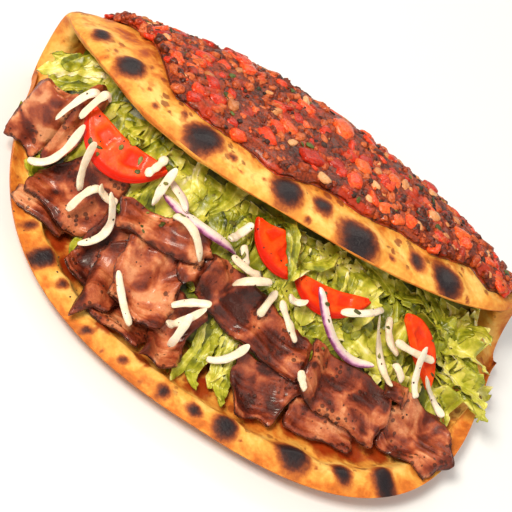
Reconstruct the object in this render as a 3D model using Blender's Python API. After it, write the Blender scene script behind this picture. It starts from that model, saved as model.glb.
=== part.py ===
"""Folded lahmacun wrap: flatbread, mince topping and the filling, each its own solid.

All lengths are metres, +Z is up, the fold's back faces +Y and the open lip faces -Y.
"""
import math

import bpy
import numpy as np

# ---------------------------------------------------------------- flatbread
HALF_LENGTH = 0.132          # centre of the bread to either end of the fold
LOWER_REACH = 0.1464         # lower flap, from the start of the fold to the front edge
UPPER_REACH = 0.1500         # fold and upper flap, from the same line to the lip
OUTLINE_POWER = 2.307        # superellipse power of the round
LOWER_LEAN = 0.021           # how much longer the lower flap is to the right
UPPER_LEAN = -0.150          # how much shorter the upper flap is to the right
FOLD_RADIUS = 0.0278
FOLD_SHRINK = 0.198          # share of the radius lost at the ends
FOLD_LEAN = -0.037
FOLD_TURN = 162.3            # degrees the sheet turns in the fold
FOLD_TURN_ENDS = -12.95
FOLD_TURN_LEAN = 7.21
FLAP_RADIUS = 0.4232         # gentle arch of the upper flap
FOLD_BOW = -0.0219           # ends of the fold come forward
FOLD_YAW = -0.0099
FOLD_SKEW = -0.0068          # upper flap slides to the left, most at the left end
FRONT_LIFT = 0.0089          # the front edge curls up
LIFT_RUN = 0.030
BREAD_THICK = 0.0046
RIM_THICK = 0.0092           # puffed edge
RIM_PLACE = 0.008
RIM_SPREAD = 0.006
RIM_ROUND = 0.0052
END_STATIONS = (1.0, 0.997, 0.985, 0.96, 0.925)
MID_STATIONS = 32
LOWER_ROWS = (0.0, 0.009, 0.03, 0.065, 0.115, 0.25, 0.6)
FOLD_ROWS = 8
FOLD_SHARE = 0.5
UPPER_ROWS = (0.6, 0.7, 0.79, 0.845, 0.885, 0.925, 0.96, 0.987, 1.0)

# Blisters: place along the length, place along the sheet, width, height (mm)
UPPER_BLISTERS = (
    (-121, 60, 13, 1.8), (-111, 86, 13, 1.6), (-93, 111, 14, 2.2), (-66, 129, 11, 1.2),
    (-51, 139, 20, 3.0), (-36, 142, 10, 1.2), (-7, 140, 17, 2.8), (10, 134, 12, 1.6),
    (33, 134, 23, 3.4), (51, 130, 10, 1.2), (64, 116, 11, 1.4), (82, 105, 16, 2.6),
)
LOWER_BLISTERS = (
    (-104, -83, 12, 1.4), (-93, -98, 15, 2.0), (-79, -108, 10, 1.0), (-27, -139, 10, 1.0),
    (-7, -140, 11, 1.2), (12, -138, 13, 1.6), (46, -128, 20, 3.0), (70, -117, 14, 1.6),
    (90, -110, 17, 2.4),
)

# ------------------------------------------------------------- mince topping
TOPPING_GAP = 0.0008
TOPPING_START = 0.047        # along the sheet, just above the middle of the fold's back
TOPPING_RIM = 0.0220         # plain rim left at the lip
TOPPING_LEFT_RIM = 0.057     # the same at the left end
TOPPING_TURN = -0.070        # where the rim starts to widen
TOPPING_THICK = 0.0022
TOPPING_CRUMBLE = 0.0026     # height of the lumps
TOPPING_ROWS = 10
TOPPING_LEFT_END = 0.88      # share of the half length it covers
TOPPING_RIGHT_END = 0.93
TOPPING_DROP = 0.012         # how much further down the back it starts at the ends
DICE_HIGH = 0.0016
# Pepper and tomato dice: place along the length, along the sheet, width (mm)
DICE = (
    (-77, 96, 6), (-63, 113, 7), (-58, 103, 6), (-28, 121, 9), (-40, 130, 6),
    (-35, 106, 5), (-18, 104, 7), (-5, 116, 10), (8, 78, 10), (-12, 80, 8), (-43, 77, 8),
    (-55, 68, 6), (17, 111, 9), (22, 90, 6), (36, 93, 8), (30, 112, 7), (61, 87, 5),
    (78, 77, 9), (58, 65, 8), (85, 60, 8), (74, 63, 6), (96, 72, 6), (-90, 76, 5),
    (49, 106, 6), (-22, 90, 6), (33, 70, 6), (-75, 68, 6), (5, 62, 7),
)

# ------------------------------------------------------------------- filling
CORE_GAP = 0.0020
CORE_LEFT = 0.115            # reach of the lettuce heap's core to either end
CORE_RIGHT = 0.110
CORE_STATIONS = 15
CORE_FRONT = 0.038           # how far behind the front edge it stops
CORE_FRONT_HIGH = 0.0095
CORE_END_SQUEEZE = 0.15      # share by which it draws back from the rim at its ends
CORE_LIP_DROP = 0.0115       # clear height left under the lip
CORE_SAG = -0.0030           # hollow of the front slope; it bulges here
PIECE_GAP = 0.0004
CELL = 0.001
MAP_X = (-0.150, 0.150)
MAP_Y = (-0.170, 0.010)
LEAF_SINK = 0.0016
ROOT_SINK = 0.0030           # the inner end of a strip goes into the heap
ROOT_SHARE = 0.28

# Meat slices, bottom of the heap first: name, centre x, y, length, width, turn (degrees),
# taper, wave, thickness and the places of the pointed tips (mm)
MEAT = (
    ("meat_lower_right", 53, -112, 36, 18, 2, 0.10, 1.2, 2.4, ((35, -123), (73, -116))),
    ("meat_left_tip", -103, -81, 30, 15, -10, -0.15, 1.2, 2.4, ((-118, -84),)),
    ("meat_left_mid", -94, -73, 38, 25, -14, 0.0, 1.6, 2.4, ((-116, -76), (-77, -84))),
    ("meat_front_slant", -73, -91, 18, 30, -22, 0.0, 1.4, 2.4, ((-68, -109), (-79, -76))),
    ("meat_front_left", -53, -113, 34, 20, -8, 0.10, 1.4, 2.4, ((-39, -126), (-70, -119))),
    ("meat_front_tip", -63, -103, 20, 32, -8, 0.25, 1.6, 2.6, ((-74, -130), (-58, -92))),
    ("meat_front_mid", -29, -111, 18, 36, 6, -0.10, 1.8, 2.4, ((-41, -132), (-25, -130), (-15, -97))),
    ("meat_front_fan", 21, -114, 31, 28, 3, 0.35, 1.6, 2.4, ((11, -136), (38, -108))),
    ("meat_left_curl", -122, -47, 21, 17, -18, 0.10, 2.0, 2.6, ((-134, -56), (-117, -66))),
    ("meat_left_fold", -107, -49, 12, 30, -14, 0.0, 1.6, 2.6, ((-98, -36), (-112, -65))),
    ("meat_centre_left", -49, -97, 33, 32, 4, 0.05, 2.4, 2.6, ((-37, -116), (-64, -113), (-25, -80))),
    ("meat_small_top", -30, -84, 24, 17, -12, 0.10, 1.0, 2.2, ((-20, -78), (-35, -96))),
    ("meat_top_left", -51, -80, 46, 16, -3, -0.10, 1.8, 2.6, ((-77, -73), (-71, -86), (-31, -84))),
    ("meat_centre", 3, -92, 60, 22, -11, 0.0, 2.0, 2.6, ((-31, -94), (33, -108), (-22, -79))),
    ("meat_right_end", 97, -96, 34, 31, -8, 0.10, 2.4, 2.6, ((121, -101), (108, -117))),
    ("meat_right", 56, -99, 50, 28, -3, 0.05, 2.0, 2.8, ((81, -114), (33, -113), (30, -86))),
    ("meat_top_right", 79, -87, 15, 12, 6, 0.0, 1.0, 2.2, ((87, -92),)),
)
# Tomato half slices: name, centre x, y, radius, first and last angle, hollow, thickness
TOMATOES = (
    ("tomato_left", -83, -47, 24.5, 185, 322, 0.10, 5.0),
    ("tomato_mid_left", 0, -56, 19.5, 192, 292, -1.05, 5.0),
    ("tomato_mid_right", 27, -57, 22.0, 218, 336, 0.10, 5.0),
    ("tomato_right", 76, -77, 20.0, 6, 122, -0.15, 5.0),
)
# Onion strips: name, centre x, y, radius, first and last angle, width, thickness
ONIONS = (
    ("onion_left", -36, -51, 30.0, 214, 303, 5.0, 3.0),
    ("onion_left_back", -69, -78, 20.0, 5, 62, 4.0, 2.6),
    ("onion_right", 46, -61, 29.5, 208, 304, 5.0, 3.0),
)
# Cheese strands: x and y of the start, middle and end (mm)
CHEESE = (
    (-105, -45, -111, -50, -117, -53), (-101, -47, -105, -52, -109, -57),
    (-106, -61, -109, -66, -119, -68), (-99, -69, -97, -73, -93, -77),
    (-84, -75, -90, -79, -94, -85), (-88, -80, -83, -80, -77, -79),
    (-83, -83, -75, -88, -83, -94), (-68, -59, -70, -65, -73, -69),
    (-62, -63, -63, -70, -62, -73), (-54, -80, -44, -84, -34, -90),
    (-20, -66, -24, -73, -28, -81), (-19, -73, -16, -76, -13, -79),
    (-22, -81, -13, -83, -4, -80), (-1, -84, -10, -89, -16, -90),
    (5, -80, 4, -86, 3, -91), (9, -82, 16, -87, 24, -93),
    (10, -82, 15, -81, 19, -81), (-35, -105, -28, -102, -20, -101),
    (-22, -106, -28, -109, -34, -115), (-27, -110, -27, -115, -27, -118),
    (4, -106, -1, -111, -9, -114), (-63, -103, -55, -113, -47, -119),
    (29, -108, 32, -112, 35, -114), (34, -79, 45, -75, 54, -64),
    (50, -76, 64, -78, 72, -93), (61, -61, 64, -71, 72, -73),
    (66, -73, 77, -73, 88, -70), (78, -74, 83, -81, 88, -87),
    (86, -81, 98, -79, 107, -83), (71, -80, 74, -83, 78, -85),
)
CUT_SIDE = 0.12              # how far the cut side lies towards the tomato's middle
CHEESE_WIDE = 3.8
CHEESE_HIGH = 2.8
# Lettuce strips that hang from under the lip
LIP_LEAVES = 19
LIP_LEAF_FIRST = -0.112
LIP_LEAF_PITCH = 0.0110
LIP_LEAF_WIDE = 9.0
LIP_LEAF_RUFFLE = 2.4
LIP_LEAF_BEHIND = 11.0
# Other lettuce strips: start x, y, end x, y, width, ruffle, sideways bend (mm) and the
# height (mm) of a tip that is held up, or nothing where the strip lies limp
END_LEAVES = (
    (-100, -20, -131, -22, 12, 1.8, 3, 39), (-100, -28, -134, -33, 12, 1.8, -3, 36),
    (-100, -35, -127, -41, 9, 1.6, 3, 35), (98, -38, 112, -50, 9, 1.8, 3, 42),
    (96, -48, 118, -64, 9, 1.8, -3, 32), (98, -62, 128, -76, 8, 1.8, 3, 22),
    (96, -68, 115, -84, 9, 1.8, 3, None),
)
FRONT_LEAVES = (
    (-15, -98, -21, -132, 6, 1.4, 2, None), (-9, -98, -8, -128, 7, 1.8, -2, None),
    (-4, -98, 6, -131, 7, 1.8, 2, None), (2, -98, -2, -122, 7, 1.4, -3, None),
)
HIGH_LEAVES = (
    (-9, -50, 7, -77, 7, 1.2, 2, None), (27, -52, 7, -77, 7, 1.2, -2, None),
    (60, -49, 92, -54, 8, 1.6, 3, None), (-80, -43, -85, -59, 8, 1.6, -2, None),
)
MM = 0.001

COLOURS = {
    "bread": (0.62, 0.33, 0.10), "topping": (0.36, 0.09, 0.03), "lettuce": (0.45, 0.55, 0.10),
    "meat": (0.24, 0.09, 0.05), "tomato": (0.72, 0.06, 0.02), "onion": (0.72, 0.52, 0.62),
    "cheese": (0.85, 0.76, 0.58),
}
ROUGHNESS = {"tomato": 0.25, "onion": 0.35, "meat": 0.5, "topping": 0.6}


# ------------------------------------------------------------ general helpers
def clear_scene():
    """Remove everything from the scene."""
    for obj in list(bpy.data.objects):
        bpy.data.objects.remove(obj, do_unlink=True)
    for mesh in list(bpy.data.meshes):
        bpy.data.meshes.remove(mesh)


def material(kind):
    """One plain material for a kind of food."""
    mat = bpy.data.materials.get(kind)
    if mat is None:
        mat = bpy.data.materials.new(kind)
        mat.use_nodes = True
        shader = mat.node_tree.nodes["Principled BSDF"]
        shader.inputs["Base Color"].default_value = COLOURS[kind] + (1.0,)
        shader.inputs["Roughness"].default_value = ROUGHNESS.get(kind, 0.7)
    return mat


def add_object(name, verts, faces, kind, smooth=True):
    """Make one closed mesh object, facing out."""
    mesh = bpy.data.meshes.new(name)
    mesh.from_pydata([tuple(map(float, v)) for v in verts], [], faces)
    mesh.update()
    mesh.polygons.foreach_set("use_smooth", [smooth] * len(mesh.polygons))
    mesh.materials.append(material(kind))
    obj = bpy.data.objects.new(name, mesh)
    bpy.context.scene.collection.objects.link(obj)
    return obj


def grid_faces(rows, cols, offset=0, flip=False):
    """Triangles of a rows x cols grid of vertices, all split the same way."""
    faces = []
    for i in range(rows - 1):
        for j in range(cols - 1):
            a = offset + i * cols + j
            b = a + cols
            pair = ((a, b, b + 1), (a, b + 1, a + 1))
            for tri in pair:
                faces.append(tri[::-1] if flip else tri)
    return faces


def grid_border(rows, cols):
    """Vertex numbers round the edge of a grid, in order."""
    ring = [i * cols for i in range(rows)]
    ring += [(rows - 1) * cols + j for j in range(1, cols)]
    ring += [i * cols + cols - 1 for i in range(rows - 2, -1, -1)]
    ring += [j for j in range(cols - 2, 0, -1)]
    return ring


def slab(top, bottom):
    """Closed solid between two grids of points of the same size (rows, cols, 3)."""
    rows, cols = top.shape[:2]
    count = rows * cols
    verts = np.concatenate([top.reshape(-1, 3), bottom.reshape(-1, 3)])
    faces = grid_faces(rows, cols) + grid_faces(rows, cols, count, flip=True)
    ring = grid_border(rows, cols)
    for a, b in zip(ring, ring[1:] + ring[:1]):
        faces.append((a, a + count, b + count))
        faces.append((a, b + count, b))
    return verts, faces


def weld(verts, faces, distance=1e-6):
    """Join vertices that share a place and drop the faces that vanish."""
    keys = {}
    index = []
    kept = []
    for v in verts:
        key = tuple(np.round(v / distance).astype(int))
        if key not in keys:
            keys[key] = len(kept)
            kept.append(v)
        index.append(keys[key])
    out = []
    for face in faces:
        new = tuple(index[i] for i in face)
        if len(set(new)) == len(new):
            out.append(new)
    return np.array(kept), out


def outward(verts, faces):
    """Turn the faces over if the solid's volume comes out negative."""
    v = np.asarray(verts)
    volume = 0.0
    for face in faces:
        a = v[face[0]]
        for i in range(1, len(face) - 1):
            volume += np.dot(a, np.cross(v[face[i]], v[face[i + 1]]))
    return faces if volume > 0 else [tuple(reversed(f)) for f in faces]


# ------------------------------------------------------------- folded sheet
def reach(x):
    """Lengths of sheet in front of and behind the fold's start, at a place along it."""
    v = np.clip(x / HALF_LENGTH, -1.0, 1.0)
    shape = np.maximum(0.0, 1.0 - np.abs(v) ** OUTLINE_POWER) ** (1.0 / OUTLINE_POWER)
    lower = LOWER_REACH * shape * (1.0 + LOWER_LEAN * v)
    upper = UPPER_REACH * shape * (1.0 + UPPER_LEAN * v)
    return lower, upper


def sheet(x, s):
    """Point of the bread's outer face; x along the fold, s round the sheet."""
    v = np.clip(x / HALF_LENGTH, -1.0, 1.0)
    u2 = v * v
    radius = FOLD_RADIUS * (1.0 - FOLD_SHRINK * u2 + FOLD_LEAN * v)
    turn = np.radians(FOLD_TURN + FOLD_TURN_ENDS * u2 + FOLD_TURN_LEAN * v)
    length = radius * turn
    a = np.clip(s, 0.0, length) / radius
    y = np.minimum(s, 0.0) + radius * np.sin(a)
    z = radius * (1.0 - np.cos(a))
    over = np.maximum(s - length, 0.0)
    b = turn + over / FLAP_RADIUS
    y = y + FLAP_RADIUS * (np.sin(b) - np.sin(turn))
    z = z - FLAP_RADIUS * (np.cos(b) - np.cos(turn))
    y = y + FOLD_BOW * u2 + FOLD_YAW * v
    lower, upper = reach(x)
    z = z + FRONT_LIFT * np.clip((LIFT_RUN - lower - s) / LIFT_RUN, 0.0, 1.0) ** 2
    along = x + FOLD_SKEW * 0.5 * (1.0 - v) * np.clip(s / (math.pi * radius), 0.0, 1.0)
    return np.stack([along, y, z], -1)


def inward(x, s):
    """Unit direction from the outer face towards the inside of the fold."""
    x = np.clip(x, -0.99 * HALF_LENGTH, 0.99 * HALF_LENGTH)
    step = 1e-5
    dx = sheet(x + step, s) - sheet(x - step, s)
    ds = sheet(x, s + step) - sheet(x, s - step)
    n = np.cross(dx, ds)
    return n / np.linalg.norm(n, axis=-1, keepdims=True)


def edge_distance(x, s):
    """Distance along the sheet to its edge."""
    step = 1e-4
    lower, upper = reach(x)
    low2, up2 = reach(np.clip(x + step, -HALF_LENGTH, HALF_LENGTH))
    low1, up1 = reach(np.clip(x - step, -HALF_LENGTH, HALF_LENGTH))
    span = 2.0 * step
    front = (s + lower) / np.sqrt(1.0 + ((low2 - low1) / span) ** 2)
    back = (upper - s) / np.sqrt(1.0 + ((up2 - up1) / span) ** 2)
    end = HALF_LENGTH - np.abs(x)
    return np.maximum(np.minimum(np.minimum(front, back), end), 0.0)


def domes(x, s, spots):
    """Height of the blisters at a place on the sheet."""
    height = np.zeros(np.broadcast(x, s).shape)
    for place_x, place_s, wide, high in spots:
        r2 = ((x - place_x * MM) ** 2 + (s - place_s * MM) ** 2) / (0.42 * wide * MM) ** 2
        height = height + high * MM * np.exp(-r2)
    return height


def bread_faces(x, s):
    """Outer and inner face points of the bread at (x, s)."""
    outer = sheet(x, s)
    normal = inward(x, s)
    d = edge_distance(x, s)
    roll = np.exp(-((d - RIM_PLACE) / RIM_SPREAD) ** 2) * (d < 0.03)
    wobble = 0.10 * np.sin(x / 0.0062) * np.cos(x / 0.0145 + 1.0)
    thick = BREAD_THICK + (RIM_THICK - BREAD_THICK) * roll * (1.0 + wobble)
    close = np.clip(d / RIM_ROUND, 0.0, 1.0)
    full = np.sqrt(np.maximum(0.0, 1.0 - (1.0 - close) ** 2))
    on_top = np.clip((s - 0.055) / 0.02, 0.0, 1.0)
    ripple = 0.0007 * np.sin(x / 0.021 + s / 0.017) * on_top * full
    half = 0.5 * thick
    rise = domes(x, s, UPPER_BLISTERS) * on_top * full
    bump = domes(x, s, LOWER_BLISTERS) * (s < 0) * full
    depth_out = half * (1.0 - full) - ripple - rise
    depth_in = half * (1.0 + full) - ripple + bump
    return outer + depth_out[..., None] * normal, outer + depth_in[..., None] * normal


def stations():
    """Places along the fold where the bread is cut into rows."""
    ends = np.array(END_STATIONS)
    middle = np.linspace(-ends[-1], ends[-1], MID_STATIONS + 1)
    return np.concatenate([-ends[:-1], middle, ends[:-1][::-1]]) * HALF_LENGTH


def sheet_rows(x):
    """Places along the sheet, front edge to lip, for each station."""
    lower, upper = reach(x)
    front = [-lower * (1.0 - a) for a in LOWER_ROWS]
    fold = [upper * FOLD_SHARE * k / FOLD_ROWS for k in range(FOLD_ROWS + 1)]
    flap = [upper * b for b in UPPER_ROWS]
    return np.stack(front + fold + flap, -1)


def build_bread():
    """The folded flatbread; also returns its two faces for the filling."""
    x = stations()
    s = sheet_rows(x)
    grid_x = np.repeat(x[:, None], s.shape[1], 1)
    outer, inner = bread_faces(grid_x, s)
    verts, faces = slab(inner, outer)
    verts, faces = weld(verts, faces)
    faces = outward(verts, faces)
    obj = add_object("bread", verts, faces, "bread")
    return obj, inner, s


# ------------------------------------------------------------ mince topping
def crumble(x, s):
    """Lumpy height of the mince, 0 to 1."""
    a = np.sin(x / 0.0019 + 1.7 * np.sin(s / 0.0031))
    b = np.sin(s / 0.0017 + 1.3 * np.sin(x / 0.0027 + 0.6))
    c = np.sin((x + s) / 0.0063 + 2.0)
    return np.clip(0.5 + 0.36 * a * b + 0.20 * c, 0.0, 1.0)


def plain_rim(x):
    """Width of bread left bare behind the lip; widest at the left end."""
    widen = np.clip((TOPPING_TURN - x) / 0.020, 0.0, 1.0)
    dip = np.exp(-((x + 0.020) / 0.012) ** 2)
    narrow = np.clip((x - 0.088) / 0.012, 0.0, 1.0)
    rim = TOPPING_RIM + 0.0015 * np.sin(x / 0.006) - 0.007 * dip - 0.010 * narrow
    return rim + (TOPPING_LEFT_RIM - TOPPING_RIM) * widen * widen * (3.0 - 2.0 * widen)


def topping_offset(x, s, rim):
    """Height of the mince's top above the bread's outer face."""
    taper = np.clip(rim / 0.004, 0.0, 1.0)
    return TOPPING_GAP + 0.0008 + taper * (TOPPING_THICK - 0.0008 + TOPPING_CRUMBLE * crumble(x, s))


def dice_solid(index, place_x, place_s, wide):
    """One small irregular block standing in the mince."""
    base = sheet(np.array(place_x * MM), np.array(place_s * MM))
    normal = -inward(np.array(place_x * MM), np.array(place_s * MM))
    side = np.cross(normal, np.array([0.0, 0.0, 1.0]) + 0.01)
    side = side / np.linalg.norm(side)
    other = np.cross(normal, side)
    angle = 0.7 * index
    across = math.cos(angle) * side + math.sin(angle) * other
    along = math.cos(angle) * other - math.sin(angle) * side
    half = 0.5 * wide * MM
    low = TOPPING_GAP + 0.0010
    high = TOPPING_GAP + TOPPING_THICK + TOPPING_CRUMBLE * 0.6 + DICE_HIGH * (0.7 + 0.3 * (index % 3))
    verts = []
    for level, size in ((low, 1.0), (high, 0.78)):
        for a, b in ((-1, -1), (1, -1), (1, 1), (-1, 1)):
            wide_a = a * half * size * (1.0 + 0.12 * ((index + a) % 2))
            verts.append(base + level * normal + wide_a * across + b * half * size * 0.85 * along)
    faces = [(0, 1, 2, 3), (4, 7, 6, 5), (0, 4, 5, 1), (1, 5, 6, 2), (2, 6, 7, 3), (3, 7, 4, 0)]
    return np.array(verts), outward(np.array(verts), faces)


def fuse(base, extras, solver="MANIFOLD"):
    """Join small solids to a bigger one and drop loose scraps."""
    group = bpy.data.collections.new(base.name + "_bits")
    bpy.context.scene.collection.children.link(group)
    for obj in extras:
        for coll in list(obj.users_collection):
            coll.objects.unlink(obj)
        group.objects.link(obj)
    mod = base.modifiers.new("join", "BOOLEAN")
    mod.operation = "UNION"
    mod.operand_type = "COLLECTION"
    mod.collection = group
    mod.solver = solver
    bpy.context.view_layer.update()
    graph = bpy.context.evaluated_depsgraph_get()
    joined = bpy.data.meshes.new_from_object(base.evaluated_get(graph))
    base.modifiers.clear()
    base.data = joined
    for obj in list(group.objects):
        bpy.data.objects.remove(obj, do_unlink=True)
    bpy.data.collections.remove(group)
    keep_largest(base)


def keep_largest(obj):
    """Keep only the biggest connected piece of a mesh."""
    mesh = obj.data
    parent = list(range(len(mesh.vertices)))

    def root(i):
        while parent[i] != i:
            parent[i] = parent[parent[i]]
            i = parent[i]
        return i

    for edge in mesh.edges:
        a, b = root(edge.vertices[0]), root(edge.vertices[1])
        if a != b:
            parent[a] = b
    roots = [root(i) for i in range(len(mesh.vertices))]
    names, counts = np.unique(roots, return_counts=True)
    if len(names) == 1:
        return
    best = names[np.argmax(counts)]
    print("loose scraps dropped:", len(names) - 1, sorted(counts.tolist()))
    index = {}
    verts = []
    for i, name in enumerate(roots):
        if name == best:
            index[i] = len(verts)
            verts.append(tuple(mesh.vertices[i].co))
    faces = [tuple(index[v] for v in p.vertices) for p in mesh.polygons if roots[p.vertices[0]] == best]
    new = bpy.data.meshes.new(obj.name)
    new.from_pydata(verts, [], faces)
    new.update()
    new.materials.append(mesh.materials[0])
    obj.data = new


def build_topping():
    """Layer of browned mince on the upper flap with its dice fused in."""
    x = stations()
    x = x[(x >= -TOPPING_LEFT_END * HALF_LENGTH) & (x <= TOPPING_RIGHT_END * HALF_LENGTH)]
    upper = reach(x)[1]
    first = TOPPING_START - TOPPING_DROP * (np.abs(x) / HALF_LENGTH) ** 4
    last = upper - plain_rim(x)
    share = np.linspace(0.0, 1.0, TOPPING_ROWS + 1)
    s = first[:, None] + (last - first)[:, None] * share
    grid_x = np.repeat(x[:, None], s.shape[1], 1)
    end = (x[-1] - x[0]) / 2 - np.abs(grid_x - (x[-1] + x[0]) / 2)
    rim = np.minimum(np.minimum(s - first[:, None], last[:, None] - s), end)
    outer = bread_faces(grid_x, s)[0]
    normal = inward(grid_x, s)
    bottom = outer - TOPPING_GAP * normal
    top = outer - topping_offset(grid_x, s, rim)[..., None] * normal
    verts, faces = slab(top, bottom)
    faces = outward(verts, faces)
    obj = add_object("topping", verts, faces, "topping")
    extras = []
    for index, spec in enumerate(DICE):
        block, block_faces = dice_solid(index, *spec)
        extras.append(add_object("dice_%02d" % index, block, block_faces, "topping"))
    fuse(obj, extras)
    return obj


# ------------------------------------------------------------- filling heap
def core_section(x):
    """Closed outline of the lettuce core at one place along the fold."""
    lower, upper = reach(x)
    v = -x / CORE_LEFT if x < 0 else x / CORE_RIGHT
    squeeze = 1.0 + CORE_END_SQUEEZE * v ** 6
    front = -lower + CORE_FRONT * squeeze
    lip = upper - 0.024
    turn_end = FOLD_RADIUS * math.radians(FOLD_TURN) * 0.9
    places = [front, 0.55 * front, 0.0]
    places += [turn_end * k / 5.0 for k in range(1, 6)]
    places += [turn_end + (lip - turn_end) * k / 2.0 for k in (1, 2)]
    s = np.array(places)
    xs = np.full(len(s), x)
    depth = BREAD_THICK + CORE_GAP + (CORE_LIP_DROP - CORE_GAP) * np.clip(s / lip, 0.0, 1.0) ** 3
    back = sheet(xs, s) + depth[:, None] * inward(xs, s)
    start = back[-1]
    end = back[0] + np.array([0.0, 0.0, CORE_FRONT_HIGH - 0.0056])
    slope = []
    for e in (0.12, 0.3, 0.5, 0.7, 0.87, 1.0):
        point = start + (end - start) * e
        point[2] -= CORE_SAG * math.sin(math.pi * e) * (1.0 - 0.4 * v)
        slope.append(point)
    return np.array(list(back) + slope)


def build_core():
    """Core of the lettuce heap that fills the fold."""
    places = np.linspace(-CORE_LEFT, CORE_RIGHT, CORE_STATIONS)
    rings = np.array([core_section(x) for x in places])
    count = rings.shape[1]
    verts = rings.reshape(-1, 3)
    faces = []
    for i in range(len(places) - 1):
        for j in range(count):
            a = i * count + j
            b = i * count + (j + 1) % count
            faces.append((a, a + count, b + count))
            faces.append((a, b + count, b))
    faces.append(tuple(range(count)))
    last = (len(places) - 1) * count
    faces.append(tuple(reversed(range(last, last + count))))
    return verts, outward(verts, faces)


def triangles(faces):
    """Fan split of any faces."""
    out = []
    for face in faces:
        for i in range(1, len(face) - 1):
            out.append((face[0], face[i], face[i + 1]))
    return np.array(out)


def sample_weights(tri_points, spacing):
    """Barycentric sample weights dense enough for the longest edge."""
    edges = np.linalg.norm(tri_points - np.roll(tri_points, 1, 1), axis=2)
    n = max(1, int(math.ceil(edges.max() / spacing)))
    out = []
    for i in range(n + 1):
        for j in range(n + 1 - i):
            out.append((i / n, j / n, (n - i - j) / n))
    return np.array(out)


class HeightMap:
    """Top heights of what already lies in the heap, on a fine square grid."""

    def __init__(self):
        self.shape = (int((MAP_X[1] - MAP_X[0]) / CELL), int((MAP_Y[1] - MAP_Y[0]) / CELL))
        self.other = np.full(self.shape, -1.0)
        self.leaf = np.full(self.shape, -1.0)
        self.roof = np.full(self.shape, 1.0)

    def cells(self, points):
        """Grid cells under points."""
        i = ((points[..., 0] - MAP_X[0]) / CELL).astype(int)
        j = ((points[..., 1] - MAP_Y[0]) / CELL).astype(int)
        return np.clip(i, 0, self.shape[0] - 1), np.clip(j, 0, self.shape[1] - 1)

    def splat(self, verts, faces, layer, lowest=False):
        """Write the surface of a mesh into a layer."""
        tri = np.asarray(verts)[triangles(faces)]
        grid = getattr(self, layer)
        for part in np.array_split(tri, max(1, len(tri) // 200)):
            weights = sample_weights(part, 0.7 * CELL)
            points = np.einsum("kw,twc->tkc", weights, part)
            i, j = self.cells(points)
            if lowest:
                np.minimum.at(grid, (i, j), points[..., 2])
            else:
                np.maximum.at(grid, (i, j), points[..., 2])

    @staticmethod
    def spread(grid, lowest=False):
        """Highest (or lowest) value within one cell."""
        pad = np.pad(grid, 1, mode="edge")
        stack = [pad[a:a + grid.shape[0], b:b + grid.shape[1]] for a in range(3) for b in range(3)]
        return np.min(stack, 0) if lowest else np.max(stack, 0)

    def floor(self, is_leaf):
        """Lowest allowed height for a new piece's underside."""
        other = self.spread(self.other) + PIECE_GAP
        if is_leaf:
            leaf = self.leaf - LEAF_SINK
        else:
            leaf = self.spread(self.leaf) + PIECE_GAP
        return np.maximum(other, leaf)

    def soft(self, radius=6, passes=2):
        """Smoothed top of the heap, ignoring empty cells."""
        top = np.maximum(self.other, self.leaf)
        mask = (top > -0.5).astype(float)
        value = np.where(top > -0.5, top, 0.0)
        for _ in range(passes):
            for axis in (0, 1):
                value = box_blur(value, radius, axis)
                mask = box_blur(mask, radius, axis)
        return value / np.maximum(mask, 1e-6)


def box_blur(grid, radius, axis):
    """Running mean along one axis."""
    width = 2 * radius + 1
    pad = [(0, 0), (0, 0)]
    pad[axis] = (radius + 1, radius)
    total = np.cumsum(np.pad(grid, pad), axis=axis)
    if axis == 0:
        return (total[width:] - total[:-width]) / width
    return (total[:, width:] - total[:, :-width]) / width


class Resting:
    """Dense samples of a grid piece against the heap's floor and the bread above it."""

    def __init__(self, heap, plan, is_leaf):
        rows, cols = plan.shape[:2]
        flat = np.concatenate([plan, np.zeros((rows, cols, 1))], 2).reshape(-1, 3)
        self.faces = np.array(grid_faces(rows, cols))
        self.weights = sample_weights(flat[self.faces], 0.8 * CELL)
        place = np.einsum("kw,twc->tkc", self.weights, flat[self.faces])
        i, j = heap.cells(place)
        self.need = heap.floor(is_leaf)[i, j]
        self.limit = (heap.spread(heap.roof, lowest=True) - PIECE_GAP)[i, j]

    def short(self, z):
        """How far each sample is below the floor."""
        return self.need - np.einsum("kw,tw->tk", self.weights, z.ravel()[self.faces])

    def lift(self, z):
        """Raise single points until no sample is below the floor."""
        strength = self.weights / np.sum(self.weights ** 2, 1, keepdims=True)
        flat = z.ravel().copy()
        for _ in range(60):
            short = np.maximum(self.short(flat), 0.0)
            if short.max() < 1e-6:
                break
            push = np.zeros_like(flat)
            for c in range(3):
                np.maximum.at(push, self.faces[:, c], (short * strength[None, :, c]).max(1))
            flat = flat + 0.6 * push + 1e-7
        return flat.reshape(z.shape)

    def clamp(self, z, thick):
        """Lower single points that would touch the bread above."""
        ceiling = np.full(z.size, 1.0)
        lowest = self.limit.min(1)
        for c in range(3):
            np.minimum.at(ceiling, self.faces[:, c], lowest)
        return np.minimum(z, ceiling.reshape(z.shape) - thick)


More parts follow.
